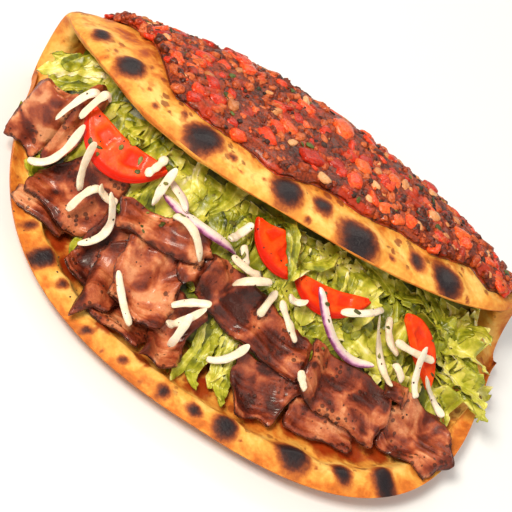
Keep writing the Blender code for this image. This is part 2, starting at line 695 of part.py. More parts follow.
def lay(heap, name, plan, wave, thick, kind, is_leaf=False, shape_terms=None, hold=None):
    """Lay one piece on the heap.

    plan is (rows, cols, 2), wave and thick are (rows, cols). shape_terms are the shapes a
    stiff piece may take; a limp piece has none and follows what lies under it. hold is
    how far along the piece each point is and the height of its tip, if it is held up.
    """
    rows, cols = wave.shape
    soft = heap.soft()
    i, j = heap.cells(plan)
    z = soft[i, j] + wave
    if hold is not None and hold[1] is not None:
        root = z[0].mean()
        held = root + (hold[1] * MM - root) * hold[0] + wave
        z = np.maximum(z, held)
    rest = Resting(heap, plan, is_leaf)
    if shape_terms is None:
        z = rest.lift(z - 0.5 * LEAF_SINK if is_leaf else z)
    else:
        basis = np.stack([term.ravel() for term in shape_terms], 1)
        for _ in range(3):
            fit = np.linalg.lstsq(basis, rest.lift(z).ravel(), rcond=None)[0]
            z = (basis @ fit).reshape(z.shape)
        z = z + max(rest.short(z).max(), 0.0)
    if is_leaf:
        z = rest.clamp(z, thick)
    bottom = np.concatenate([plan, z[..., None]], 2)
    top = bottom.copy()
    top[..., 2] += thick
    verts, faces = slab(top, bottom)
    faces = outward(verts, faces)
    obj = add_object(name, verts, faces, kind)
    heap.splat(verts, faces, "leaf" if is_leaf else "other")
    return obj


def rotated(a, b, turn):
    """Turn plan coordinates by an angle in degrees."""
    angle = math.radians(turn)
    return a * math.cos(angle) - b * math.sin(angle), a * math.sin(angle) + b * math.cos(angle)


def meat_slice(heap, index, name, cx, cy, long, wide, turn, taper, wave, thick, tips):
    """One thin wavy slice with a ragged outline and drawn-out tips."""
    rows = 9 if long > 40 else 7
    cols = 5
    a, b = np.meshgrid(np.linspace(-1, 1, rows), np.linspace(-1, 1, cols), indexing="ij")
    seed = 1.7 * index
    rim = np.maximum(np.abs(a), np.abs(b)) > 0.99
    px = a * np.sqrt(1.0 - 0.16 * b * b) * (1.0 + taper * b)
    py = b * np.sqrt(1.0 - 0.16 * a * a)
    ragged = rim * np.sin(37.0 * a + 61.0 * b + 3.0 * seed)
    px = px + 0.05 * ragged + 0.06 * rim * np.sin(5.1 * b + seed)
    py = py + 0.09 * rim * np.sin(53.0 * a + 29.0 * b + seed) + 0.08 * rim * np.sin(4.3 * a + seed)
    x, y = rotated(0.5 * long * px, 0.5 * wide * py, turn)
    plan = np.stack([x + cx, y + cy], -1)
    for tip in tips:
        away = np.where(rim, np.linalg.norm(plan - tip, axis=2), 1e9)
        ti, tj = np.unravel_index(np.argmin(away), away.shape)
        near = np.exp(-((a - a[ti, tj]) ** 2 + (b - b[ti, tj]) ** 2) / 0.18)
        plan = plan + near[..., None] * (np.array(tip) - plan[ti, tj])
    plan = plan * MM
    ripple = np.sin(3.3 * a + 1.9 * np.sin(seed) * b + seed) + 0.5 * np.sin(5.5 * a - 2.0 * b + seed)
    curl = 0.5 * rim * (1.0 + np.sin(2.0 * a + 3.0 * b + seed))
    height = wave * MM * (0.75 + 0.5 * ripple + 0.5 * curl)
    return lay(heap, name, plan, height, np.full(a.shape, thick * MM), "meat")


def arc_piece(heap, name, cx, cy, radius, first, last, wide, thick, kind, rows, cols):
    """Part of a ring between two angles: an onion strip."""
    t, w = np.meshgrid(np.linspace(0, 1, rows), np.linspace(0, 1, cols), indexing="ij")
    angle = np.radians(first + (last - first) * t)
    taper = np.sqrt(np.maximum(0.0, 1.0 - np.abs(2.0 * t - 1.0) ** 3)) * 0.75 + 0.25
    r = (radius - wide * (1.0 - w) * taper) * MM
    plan = np.stack([cx * MM + r * np.cos(angle), cy * MM + r * np.sin(angle)], -1)
    arch_terms = (np.ones(t.shape), t, t * t, t ** 3)
    return lay(heap, name, plan, np.zeros(t.shape), np.full(t.shape, thick * MM), kind,
               shape_terms=arch_terms)


def tomato_slice(heap, name, cx, cy, radius, first, last, hollow, thick):
    """Half slice: round skin side, the cut side a little hollow."""
    t, w = np.meshgrid(np.linspace(0, 1, 11), np.linspace(0, 1, 3), indexing="ij")
    angle = np.radians(first + (last - first) * t)
    skin = np.stack([np.cos(angle), np.sin(angle)], -1) * radius + (cx, cy)
    inset = 0.10 * (skin[-1] - skin[0]) * (1.0 - 2.0 * t[..., None])
    back = CUT_SIDE * (np.array([cx, cy]) - 0.5 * (skin[0] + skin[-1]))
    chord = skin[:1] * (1.0 - t[..., None]) + skin[-1:] * t[..., None] + 0.5 * inset + back
    cut = chord + hollow * np.sin(math.pi * t[..., None]) * (skin - chord)
    plan = (cut * (1.0 - w[..., None]) + skin * w[..., None]) * MM
    flat_terms = (np.ones(t.shape), plan[..., 0], plan[..., 1])
    return lay(heap, name, plan, np.zeros(t.shape), np.full(t.shape, thick * MM), "tomato",
               shape_terms=flat_terms)


def strip(heap, name, start, middle, end, wide, high, kind, rows, wave, is_leaf, cols=2,
          phase=0.0, tip=None):
    """A ribbon along a bent line in plan, ruffled along its edges."""
    t = np.linspace(0.0, 1.0, rows)[:, None]
    p0, p1, p2 = (np.array(p) * MM for p in (start, middle, end))
    line = (1 - t) ** 2 * p0 + 2 * t * (1 - t) * (2 * p1 - 0.5 * (p0 + p2)) + t ** 2 * p2
    way = np.gradient(line, axis=0)
    way = way / np.linalg.norm(way, axis=1, keepdims=True)
    side = np.stack([-way[:, 1], way[:, 0]], 1)
    w = np.linspace(-0.5, 0.5, cols)
    narrow = 1.0 - 0.35 * (2.0 * t[:, 0] - 1.0) ** 4
    plan = line[:, None, :] + (w[None, :, None] * wide * MM * narrow[:, None, None]) * side[:, None, :]
    ruffle = np.sin(2.0 * math.pi * 1.4 * t + phase + 2.6 * w[None, :])
    even = np.repeat(t, cols, 1)
    rooted = np.clip(even / ROOT_SHARE, 0.0, 1.0) if is_leaf else 1.0
    height = wave * MM * (1.0 + ruffle) * rooted - ROOT_SINK * (1.0 - rooted)
    terms = None if is_leaf else (np.ones(height.shape), even, even ** 2)
    thick = np.full(height.shape, high * MM)
    return lay(heap, name, plan, height, thick, kind, is_leaf, terms, hold=(even, tip))


def leaf_strips(heap, label, specs, cols=2):
    """A set of lettuce strips."""
    out = []
    for index, (x0, y0, x1, y1, wide, ruffle, bend, tip) in enumerate(specs):
        start = np.array([x0, y0], float)
        end = np.array([x1, y1], float)
        way = (end - start) / np.linalg.norm(end - start)
        middle = 0.5 * (start + end) + bend * np.array([-way[1], way[0]])
        out.append(strip(heap, "%s_%02d" % (label, index), start, middle, end, wide, 1.4, "lettuce",
                         5, ruffle, True, cols=cols, phase=1.9 * index, tip=tip))
    return out


def lip_leaf_specs():
    """Strips spaced along the lip, their length and lean uneven."""
    specs = []
    for k in range(LIP_LEAVES):
        x = LIP_LEAF_FIRST + k * LIP_LEAF_PITCH
        lip = sheet(np.array(x), reach(np.array(x))[1])[1] / MM + LIP_LEAF_BEHIND
        long = 25.0 + 5.0 * math.sin(2.3 * k + 0.4)
        lean = 6.0 * math.sin(1.7 * k)
        bend = 2.5 * math.sin(3.1 * k + 1.0)
        wide = LIP_LEAF_WIDE * (1.0 + 0.15 * math.sin(2.9 * k))
        specs.append((x / MM, lip, x / MM + lean, lip - long, wide, LIP_LEAF_RUFFLE, bend, None))
    return specs


def centre_on_floor(objects):
    """Move everything so the middle of its base is the origin."""
    points = []
    for obj in objects:
        co = np.empty(len(obj.data.vertices) * 3)
        obj.data.vertices.foreach_get("co", co)
        points.append(co.reshape(-1, 3))
    every = np.concatenate(points)
    low = every.min(0)
    high = every.max(0)
    move = np.array([-(low[0] + high[0]) / 2, -(low[1] + high[1]) / 2, -low[2]])
    for obj, co in zip(objects, points):
        obj.data.vertices.foreach_set("co", (co + move).ravel())
        obj.data.update()
    print("moved by", move.tolist(), "size", (high - low).tolist())


def main():
    """Build the bread, then everything that lies in it from the bottom up."""
    clear_scene()
    bread, inner, s = build_bread()
    topping = build_topping()
    heap = HeightMap()
    rows, cols = inner.shape[:2]
    flat = inner.reshape(-1, 3)
    faces = np.array(grid_faces(rows, cols))
    along = s.reshape(-1)
    heap.splat(flat, faces[(along[faces] < 0.004).all(1)], "other")
    heap.splat(flat, faces[(along[faces] > 0.06).all(1)], "roof", lowest=True)
    core_verts, core_faces = build_core()
    heap.splat(core_verts, core_faces, "leaf")
    core = add_object("lettuce", core_verts, core_faces, "lettuce")
    leaves = leaf_strips(heap, "leaf_lip", lip_leaf_specs())
    leaves += leaf_strips(heap, "leaf_end", END_LEAVES, cols=3)
    leaves += leaf_strips(heap, "leaf_front", FRONT_LEAVES)
    objects = [bread, topping, core]
    for index, spec in enumerate(MEAT):
        objects.append(meat_slice(heap, index, *spec))
    for spec in TOMATOES:
        objects.append(tomato_slice(heap, *spec))
    for spec in ONIONS:
        objects.append(arc_piece(heap, *spec, "onion", 8, 2))
    leaves += leaf_strips(heap, "leaf_high", HIGH_LEAVES)
    for index, spec in enumerate(CHEESE):
        start, middle, end = spec[0:2], spec[2:4], spec[4:6]
        objects.append(strip(heap, "cheese_%02d" % (index + 1), start, middle, end, CHEESE_WIDE,
                             CHEESE_HIGH, "cheese", 5, 0.0, False))
    fuse(core, leaves)
    centre_on_floor(objects)


main()
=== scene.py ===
"""Looks of a folded lahmacun wrap: bread, mince topping, salad, meat, tomato, onion and cheese.

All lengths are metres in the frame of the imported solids. The fold's back faces +Y, the open
lip faces -Y and +Z is up.
"""
import logging
import math
from dataclasses import dataclass, field
from enum import Enum

import bpy
import numpy as np
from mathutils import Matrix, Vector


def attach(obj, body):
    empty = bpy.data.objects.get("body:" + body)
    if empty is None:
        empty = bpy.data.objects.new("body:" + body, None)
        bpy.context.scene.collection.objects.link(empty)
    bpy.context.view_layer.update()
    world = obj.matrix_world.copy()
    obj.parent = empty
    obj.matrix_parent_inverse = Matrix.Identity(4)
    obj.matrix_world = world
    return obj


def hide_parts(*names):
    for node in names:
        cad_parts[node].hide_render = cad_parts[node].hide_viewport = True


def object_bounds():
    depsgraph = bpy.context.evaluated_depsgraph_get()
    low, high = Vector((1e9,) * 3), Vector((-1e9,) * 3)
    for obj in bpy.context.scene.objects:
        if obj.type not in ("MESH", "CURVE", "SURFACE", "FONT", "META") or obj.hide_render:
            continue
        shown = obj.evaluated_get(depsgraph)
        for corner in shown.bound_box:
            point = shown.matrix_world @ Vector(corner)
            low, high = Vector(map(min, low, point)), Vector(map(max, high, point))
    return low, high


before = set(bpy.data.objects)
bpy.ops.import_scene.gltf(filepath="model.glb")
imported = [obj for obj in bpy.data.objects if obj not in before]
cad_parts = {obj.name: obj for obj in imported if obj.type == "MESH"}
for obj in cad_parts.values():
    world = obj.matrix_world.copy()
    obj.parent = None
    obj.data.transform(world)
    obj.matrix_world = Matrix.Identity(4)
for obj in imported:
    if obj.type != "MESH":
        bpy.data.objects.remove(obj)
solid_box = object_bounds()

log = logging.getLogger("wrap")
MM = 0.001
FULL_TURN = 6.283
BODY = "root"
Colour = tuple[float, float, float]
Stops = tuple[tuple[float, Colour], ...]
Rows = tuple[tuple[float | None, ...], ...]


# ------------------------------------------------------------------ meshes from arrays
class Slot(Enum):
    """Material slots of the record."""

    BREAD = "bread"
    TOPPING = "topping"
    LETTUCE = "lettuce"
    MEAT = "meat"
    TOMATO = "tomato"
    ONION = "onion"
    CHEESE = "cheese"


class Step(Enum):
    """Steps of arithmetic in a material."""

    ADD = "ADD"
    SUBTRACT = "SUBTRACT"
    MULTIPLY = "MULTIPLY"


@dataclass
class Shell:
    """Arrays of one mesh: points, four-cornered faces and the values kept at each point."""

    points: np.ndarray
    faces: np.ndarray
    values: dict[str, np.ndarray] = field(default_factory=dict)


def unit(vectors: np.ndarray) -> np.ndarray:
    """Vectors of length one."""
    return vectors / np.maximum(np.linalg.norm(vectors, axis=-1, keepdims=True), 1e-12)


def smooth_step(value: np.ndarray, low: float, high: float) -> np.ndarray:
    """Rises from 0 at low to 1 at high with flat ends: t squared times (3 - 2t)."""
    t = np.clip((value - low) / (high - low), 0.0, 1.0)
    return t * t * (3.0 - 2.0 * t)


def bell(away: np.ndarray, width: float) -> np.ndarray:
    """Bell curve: 1 at no distance, e to the power of minus 1 at the width."""
    return np.exp(-((away / width) ** 2))


def bulge(away: np.ndarray, power: float) -> np.ndarray:
    """1 in the middle and 0 at a distance of 1: the root of 1 minus a power of the distance."""
    return np.sqrt(np.maximum(0.0, 1.0 - np.abs(away) ** power))


def quarter_round(share: np.ndarray) -> np.ndarray:
    """Rises from 0 to 1 along a quarter of a circle."""
    return bulge(1.0 - np.clip(share, 0.0, 1.0), 2)


def eased(count: int) -> np.ndarray:
    """Steps from 0 to 1 that are closer together at both ends: half of 1 minus a cosine."""
    return 0.5 - 0.5 * np.cos(np.linspace(0.0, math.pi, count))


def crossed(first: np.ndarray, second: np.ndarray) -> tuple[np.ndarray, np.ndarray]:
    """The two values at every point of a grid with one along each side."""
    return tuple(np.meshgrid(first, second, indexing="ij"))


def lifted(plan: np.ndarray, height: np.ndarray) -> np.ndarray:
    """Points of the plan at their heights."""
    return np.concatenate([plan, height[..., None]], -1)


def grid_quads(rows: int, cols: int) -> np.ndarray:
    """Corner numbers of every cell of a rows by cols grid of points."""
    first = np.arange(rows - 1)[:, None] * cols + np.arange(cols - 1)[None, :]
    return np.stack([first, first + cols, first + cols + 1, first + 1], -1).reshape(-1, 4)


def facing_out(points: np.ndarray, faces: np.ndarray) -> np.ndarray:
    """Faces turned over if the volume they enclose, summed as tetrahedra, is negative.

    Args:
        points: corners, (n, 3).
        faces: corner numbers, (m, 4).

    Returns:
        The faces, all of them facing out.
    """
    a, b, c, d = (points[faces[:, k]] for k in range(4))
    volume = (a * np.cross(b, c)).sum() + (a * np.cross(c, d)).sum()
    return faces if volume > 0 else faces[:, ::-1]


def slab(top: np.ndarray, bottom: np.ndarray, values: dict[str, np.ndarray]) -> Shell:
    """Closed form between two grids of points.

    Args:
        top: upper face, (rows, cols, 3).
        bottom: lower face, the same size.
        values: named values per grid point, used for both faces, or (2, rows, cols).

    Returns:
        The shell, its border closed by one band of faces.
    """
    rows, cols = top.shape[:2]
    count = rows * cols
    points = np.concatenate([top.reshape(-1, 3), bottom.reshape(-1, 3)])
    quads = grid_quads(rows, cols)
    index = np.arange(count).reshape(rows, cols)
    ring = np.concatenate([index[:, 0], index[-1, 1:], index[-2::-1, -1], index[0, -2:0:-1]])
    after = np.roll(ring, -1)
    band = np.stack([after, ring, ring + count, after + count], -1)
    faces = np.concatenate([quads, quads[:, ::-1] + count, band[:, ::-1]])
    kept = {}
    for name, value in values.items():
        both = value if value.shape[0] == 2 and value.ndim == 3 else np.stack([value, value])
        kept[name] = both.reshape(-1)
    return Shell(points, facing_out(points, faces), kept)


def joined(shells: list[Shell]) -> Shell:
    """Several shells as one.

    Args:
        shells: forms with the same named values.

    Returns:
        One shell.
    """
    offsets = np.cumsum([0] + [len(s.points) for s in shells[:-1]])
    return Shell(
        np.concatenate([s.points for s in shells]),
        np.concatenate([s.faces + o for s, o in zip(shells, offsets)]),
        {k: np.concatenate([s.values[k] for s in shells]) for k in shells[0].values},
    )


def put(name: str, shell: Shell, material: bpy.types.Material,
        nodes: list[str]) -> bpy.types.Object:
    """Make the object of a shell and tie it to the frame.

    Args:
        name: name of the piece.
        shell: its arrays.
        material: its finish.
        nodes: solids that it stands for.

    Returns:
        The new object, at the origin.
    """
    mesh = bpy.data.meshes.new(name)
    count = len(shell.faces)
    mesh.vertices.add(len(shell.points))
    mesh.vertices.foreach_set("co", shell.points.astype(np.float32).ravel())
    mesh.loops.add(4 * count)
    mesh.loops.foreach_set("vertex_index", shell.faces.astype(np.int32).ravel())
    mesh.polygons.add(count)
    mesh.polygons.foreach_set("loop_start", np.arange(0, 4 * count, 4, dtype=np.int32))
    mesh.polygons.foreach_set("use_smooth", np.ones(count, bool))
    for key, value in shell.values.items():
        layer = mesh.attributes.new(key, "FLOAT", "POINT")
        layer.data.foreach_set("value", value.astype(np.float32).ravel())
    mesh.materials.append(material)
    mesh.update(calc_edges=True)
    mesh.validate()
    obj = bpy.data.objects.new(name, mesh)
    bpy.context.scene.collection.objects.link(obj)
    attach(obj, BODY)
    if nodes:
        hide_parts(*nodes)
    log.info("%s: %d points, %d faces, for %d solids", name, len(shell.points), count, len(nodes))
    return obj


# --------------------------------------------------------------------- uneven patterns
def hashed(cells: np.ndarray, seed: int) -> np.ndarray:
    """A number from 0 to 1 for each whole-number cell, mixed from its coordinates.

    Args:
        cells: whole numbers, (..., 1 to 3).
        seed: which pattern.

    Returns:
        The numbers, (...).
    """
    mixed = np.full(cells.shape[:-1], (seed * 2654435761 + 97) % (1 << 32), np.uint64)
    for axis in range(cells.shape[-1]):
        prime = np.uint64((73856093, 19349663, 83492791)[axis])
        mixed ^= (cells[..., axis].astype(np.int64) & 0xFFFFFFFF).astype(np.uint64) * prime
        mixed = (mixed ^ (mixed >> np.uint64(15))) * np.uint64(0x2C1B3C6D) & np.uint64(0xFFFFFFFF)
        mixed = (mixed ^ (mixed >> np.uint64(12))) * np.uint64(0x297A2D39) & np.uint64(0xFFFFFFFF)
    return (mixed ^ (mixed >> np.uint64(15))).astype(float) / float(1 << 32)


def own_number(first: int, second: int, seed: int) -> float:
    """The hashed number, 0 to 1, of one pair."""
    return hashed(np.array([[first, second]]), seed)[0]


def soft_noise(points: np.ndarray, size: float, seed: int) -> np.ndarray:
    """Smooth noise from -1 to 1: hashed cell corners blended with a smooth step.

    Args:
        points: places, (..., 2 or 3).
        size: size of one cell.
        seed: which noise.

    Returns:
        The noise, (...).
    """
    scaled = points / size
    base = np.floor(scaled)
    part = scaled - base
    part = part * part * (3.0 - 2.0 * part)
    base = base.astype(np.int64)
    dims = points.shape[-1]
    total = np.zeros(points.shape[:-1])
    for corner in range(1 << dims):
        step = np.array([(corner >> k) & 1 for k in range(dims)])
        share = np.prod(np.where(step == 1, part, 1.0 - part), -1)
        total = total + share * hashed(base + step, seed)
    return 2.0 * total - 1.0


def layered_noise(points: np.ndarray, size: float, seed: int, layers: int = 3) -> np.ndarray:
    """Sum of smooth noises, each half the size and 0.55 of the height of the one before.

    Args:
        points: places, (..., 2 or 3).
        size: cell size of the first noise.
        seed: which pattern.
        layers: how many noises there are.

    Returns:
        The noise, about -1 to 1.
    """
    total = np.zeros(points.shape[:-1])
    for k in range(layers):
        total = total + 0.55**k * soft_noise(points, size * 0.5**k, seed + 31 * k)
    return total / 1.8


def lumps(points: np.ndarray, size: float, seed: int) -> tuple[np.ndarray, np.ndarray]:
    """Rounded lumps on a plane: the nearest of the jittered cell centres.

    Args:
        points: places, (..., 2).
        size: mean distance between lumps.
        seed: which pattern.

    Returns:
        Distance to the nearest centre in cell sizes, and that lump's own number 0 to 1.
    """
    scaled = points / size
    base = np.floor(scaled).astype(np.int64)
    best = np.full(points.shape[:-1], 9.0)
    mark = np.zeros(points.shape[:-1])
    for i in (-1, 0, 1):
        for j in (-1, 0, 1):
            cell = base + np.array([i, j])
            jitter = np.stack([hashed(cell, seed), hashed(cell, seed + 1)], -1) - 0.5
            centre = cell + 0.5 + 0.75 * jitter
            away = np.linalg.norm(scaled - centre, axis=-1)
            nearer = away < best
            mark = np.where(nearer, hashed(cell, seed + 2), mark)
            best = np.minimum(best, away)
    return best, mark


# ------------------------------------------------------------------------ small forms
def cube_ball(steps: int, squareness: float) -> Shell:
    """Closed ball or block of radius 1 on a cube's grid.

    The six faces of a cube, steps cells wide, are pushed in to where the sum of the
    coordinates' powers is 1: power 2 is a ball, a higher power a block with soft edges.

    Args:
        steps: cells along each side of the cube.
        squareness: the power.

    Returns:
        The form, radius 1.
    """
    line = np.linspace(-1.0, 1.0, steps + 1)
    a, b = crossed(np.tan(line * math.pi / 4), np.tan(line * math.pi / 4))
    ones = np.ones_like(a)
    sides = [np.stack(s, -1) for s in (
        (ones, a, b), (-ones, b, a), (b, ones, a), (a, -ones, b), (a, b, ones), (b, a, -ones))]
    quads = [grid_quads(steps + 1, steps + 1) + k * (steps + 1) ** 2 for k in range(6)]
    points = np.concatenate([s.reshape(-1, 3) for s in sides])
    keys, where = np.unique(np.round(points, 5), axis=0, return_inverse=True)
    faces = where.reshape(-1)[np.concatenate(quads)]
    power = (np.abs(keys) ** squareness).sum(-1, keepdims=True) ** (1.0 / squareness)
    keys = keys / power
    return Shell(keys, facing_out(keys, faces))


def scattered(form: Shell, places: np.ndarray, turns: np.ndarray, sizes: np.ndarray, rough: float,
              seed: int) -> Shell:
    """Copies of a small form, each with its own size, turn and dents.

    A copy that would stand out of the box of the solids is moved back into it.

    Args:
        form: the form, radius 1.
        places: centres, (k, 3).
        turns: three axes of each copy as rows, (k, 3, 3).
        sizes: half sizes along those axes, (k, 3).
        rough: depth of the dents as a share of the radius.
        seed: which dents.

    Returns:
        One shell with the value tone, 0 to 1, the same all over each copy.
    """
    count, corners = len(places), len(form.points)
    shift = np.arange(count)[:, None, None] * np.array([3.7, 1.9, 5.3])
    dent = 1.0 + rough * soft_noise(form.points[None] * 1.3 + shift, 0.9, seed)
    local = form.points[None] * dent[..., None] * sizes[:, None, :]
    points = places[:, None, :] + np.einsum("kpi,kij->kpj", local, turns)
    past = np.maximum(points.max(1) - np.array(solid_box[1]), 0.0)
    points = points - past[:, None, :]
    faces = form.faces[None] + (np.arange(count) * corners)[:, None, None]
    tone = np.repeat(hashed(np.arange(count)[:, None], seed + 5), corners)
    return Shell(points.reshape(-1, 3), faces.reshape(-1, 4), {"tone": tone})


def spun(axis: np.ndarray, side: np.ndarray, angle: np.ndarray, tilt: np.ndarray) -> np.ndarray:
    """Axes for scattered forms: side turned about axis by angle, then leaned by tilt.

    Args:
        axis: directions to turn about, (k, 3).
        side: directions across them, (k, 3).
        angle: turns in radians.
        tilt: leans in radians.

    Returns:
        Three axes of each form as rows, (k, 3, 3).
    """
    other = np.cross(axis, side)
    across = np.cos(angle)[:, None] * side + np.sin(angle)[:, None] * other
    along = np.cross(axis, across)
    up = np.cos(tilt)[:, None] * axis + np.sin(tilt)[:, None] * along
    return np.stack([across, np.cross(up, across), up], 1)


def sideways(normal: np.ndarray) -> np.ndarray:
    """A direction across each normal."""
    return unit(np.cross(normal, np.array([0.1, 1.0, 0.2])))


# ---------------------------------------------------------------------- folded sheet
@dataclass(frozen=True)
class FoldedSheet:
    """The round of bread folded over: x runs along the fold, s round the sheet."""

    half_length: float = 0.132
    lower_reach: float = 0.1464
    upper_reach: float = 0.1500
    power: float = 2.307
    lower_lean: float = 0.021
    upper_lean: float = -0.150
    radius: float = 0.0278
    radius_shrink: float = 0.198
    radius_lean: float = -0.037
    turn: float = 162.3
    turn_ends: float = -12.95
    turn_lean: float = 7.21
    flap_radius: float = 0.4232
    bow: float = -0.0219
    yaw: float = -0.0099
    skew: float = -0.0068
    front_lift: float = 0.0089
    lift_run: float = 0.030
    thick: float = 0.0046
    rim_thick: float = 0.0092
    rim_place: float = 0.008
    rim_spread: float = 0.006
    rim_round: float = 0.0052
    shift: tuple[float, float, float] = (0.0019792, 0.0584981, 0.0)

    def reach(self, x: np.ndarray) -> tuple[np.ndarray, np.ndarray]:
        """Lengths of sheet before and behind the fold's start: a superellipse each way.

        Args:
            x: places along the fold.

        Returns:
            Length to the lower flap's edge and to the upper flap's edge.
        """
        v = np.clip(x / self.half_length, -1.0, 1.0)
        shape = np.maximum(0.0, 1.0 - np.abs(v) ** self.power) ** (1.0 / self.power)
        lower = self.lower_reach * shape * (1.0 + self.lower_lean * v)
        upper = self.upper_reach * shape * (1.0 + self.upper_lean * v)
        return lower, upper

    def outer(self, x: np.ndarray, s: np.ndarray) -> np.ndarray:
        """Point of the outer face.

        The sheet lies flat up to s = 0, follows an arc for the fold's turn and then a much
        larger arc; the ends of the fold come forward with the square of x.

        Args:
            x: places along the fold.
            s: places round the sheet.

        Returns:
            The points, (..., 3).
        """
        v = np.clip(x / self.half_length, -1.0, 1.0)
        square = v * v
        radius = self.radius * (1.0 - self.radius_shrink * square + self.radius_lean * v)
        turn = np.radians(self.turn + self.turn_ends * square + self.turn_lean * v)
        length = radius * turn
        a = np.clip(s, 0.0, length) / radius
        y = np.minimum(s, 0.0) + radius * np.sin(a)
        z = radius * (1.0 - np.cos(a))
        b = turn + np.maximum(s - length, 0.0) / self.flap_radius
        y = y + self.flap_radius * (np.sin(b) - np.sin(turn)) + self.bow * square + self.yaw * v
        z = z - self.flap_radius * (np.cos(b) - np.cos(turn))
        lower = self.reach(x)[0]
        z = z + self.front_lift * np.clip((self.lift_run - lower - s) / self.lift_run, 0.0, 1.0) ** 2
        share = np.clip(s / (math.pi * radius), 0.0, 1.0)
        along = x + self.skew * 0.5 * (1.0 - v) * share
        return np.stack([along, y, z], -1) + np.array(self.shift)

    def inward(self, x: np.ndarray, s: np.ndarray) -> np.ndarray:
        """Unit direction to the inside of the fold: across both slopes of the sheet.

        Args:
            x: places along the fold.
            s: places round the sheet.

        Returns:
            The directions, (..., 3).
        """
        x = np.clip(x, -0.99 * self.half_length, 0.99 * self.half_length)
        step = 1e-5
        dx = self.outer(x + step, s) - self.outer(x - step, s)
        ds = self.outer(x, s + step) - self.outer(x, s - step)
        return unit(np.cross(dx, ds))

    def edge_distance(self, x: np.ndarray, s: np.ndarray) -> np.ndarray:
        """Distance along the sheet to its edge.

        Args:
            x: places along the fold.
            s: places round the sheet.

        Returns:
            The distances in metres.
        """
        step = 1e-4
        end = self.half_length
        lower, upper = self.reach(x)
        low2, up2 = self.reach(np.clip(x + step, -end, end))
        low1, up1 = self.reach(np.clip(x - step, -end, end))
        front = (s + lower) / np.sqrt(1.0 + ((low2 - low1) / (2.0 * step)) ** 2)
        back = (upper - s) / np.sqrt(1.0 + ((up2 - up1) / (2.0 * step)) ** 2)
        return np.maximum(np.minimum(np.minimum(front, back), end - np.abs(x)), 0.0)

    def faces_at(self, x: np.ndarray, s: np.ndarray, upper: Rows,
                 lower: Rows) -> tuple[np.ndarray, np.ndarray]:
        """Outer and inner face of the bread.

        Args:
            x: places along the fold.
            s: places round the sheet.
            upper: blisters of the upper flap's outside, (x, s, width, height) in mm.
            lower: blisters of the lower flap's inside.

        Returns:
            Two grids of points; the wall swells behind the edge and is rounded off at it.
        """
        base, normal, d = self.outer(x, s), self.inward(x, s), self.edge_distance(x, s)
        roll = bell(d - self.rim_place, self.rim_spread) * (d < 0.03)
        wobble = 0.10 * np.sin(x / 0.0062) * np.cos(x / 0.0145 + 1.0)
        half = 0.5 * (self.thick + (self.rim_thick - self.thick) * roll * (1.0 + wobble))
        full = quarter_round(d / self.rim_round)
        on_top = np.clip((s - 0.055) / 0.02, 0.0, 1.0)
        ripple = 0.0007 * np.sin(x / 0.021 + s / 0.017) * on_top * full
        rise = domes(x, s, upper) * on_top * full
        bump = domes(x, s, lower) * (s < 0) * full
        out = half * (1.0 - full) - ripple - rise
        inn = half * (1.0 + full) - ripple + bump
        return base + out[..., None] * normal, base + inn[..., None] * normal


def domes(x: np.ndarray, s: np.ndarray, spots: Rows) -> np.ndarray:
    """Height of blisters: a bell curve of the distance to each blister's middle.

    Args:
        x: places along the fold.
        s: places round the sheet.
        spots: their middles, widths and heights in mm, (x, s, width, height).

    Returns:
        The heights in metres.
    """
    height = np.zeros(np.broadcast(x, s).shape)
    for place_x, place_s, wide, high in spots:
        away = ((x - place_x * MM) ** 2 + (s - place_s * MM) ** 2) / (0.42 * wide * MM) ** 2
        height = height + high * MM * np.exp(-away)
    return height


# ------------------------------------------------------------------------- materials
def linear(colour: Colour) -> tuple[float, float, float, float]:
    """Scene colour of a screen colour given as 0 to 255."""
    share = [c / 255.0 for c in colour]
    return tuple([c / 12.92 if c <= 0.04045 else ((c + 0.055) / 1.055) ** 2.4 for c in share] + [1.0])


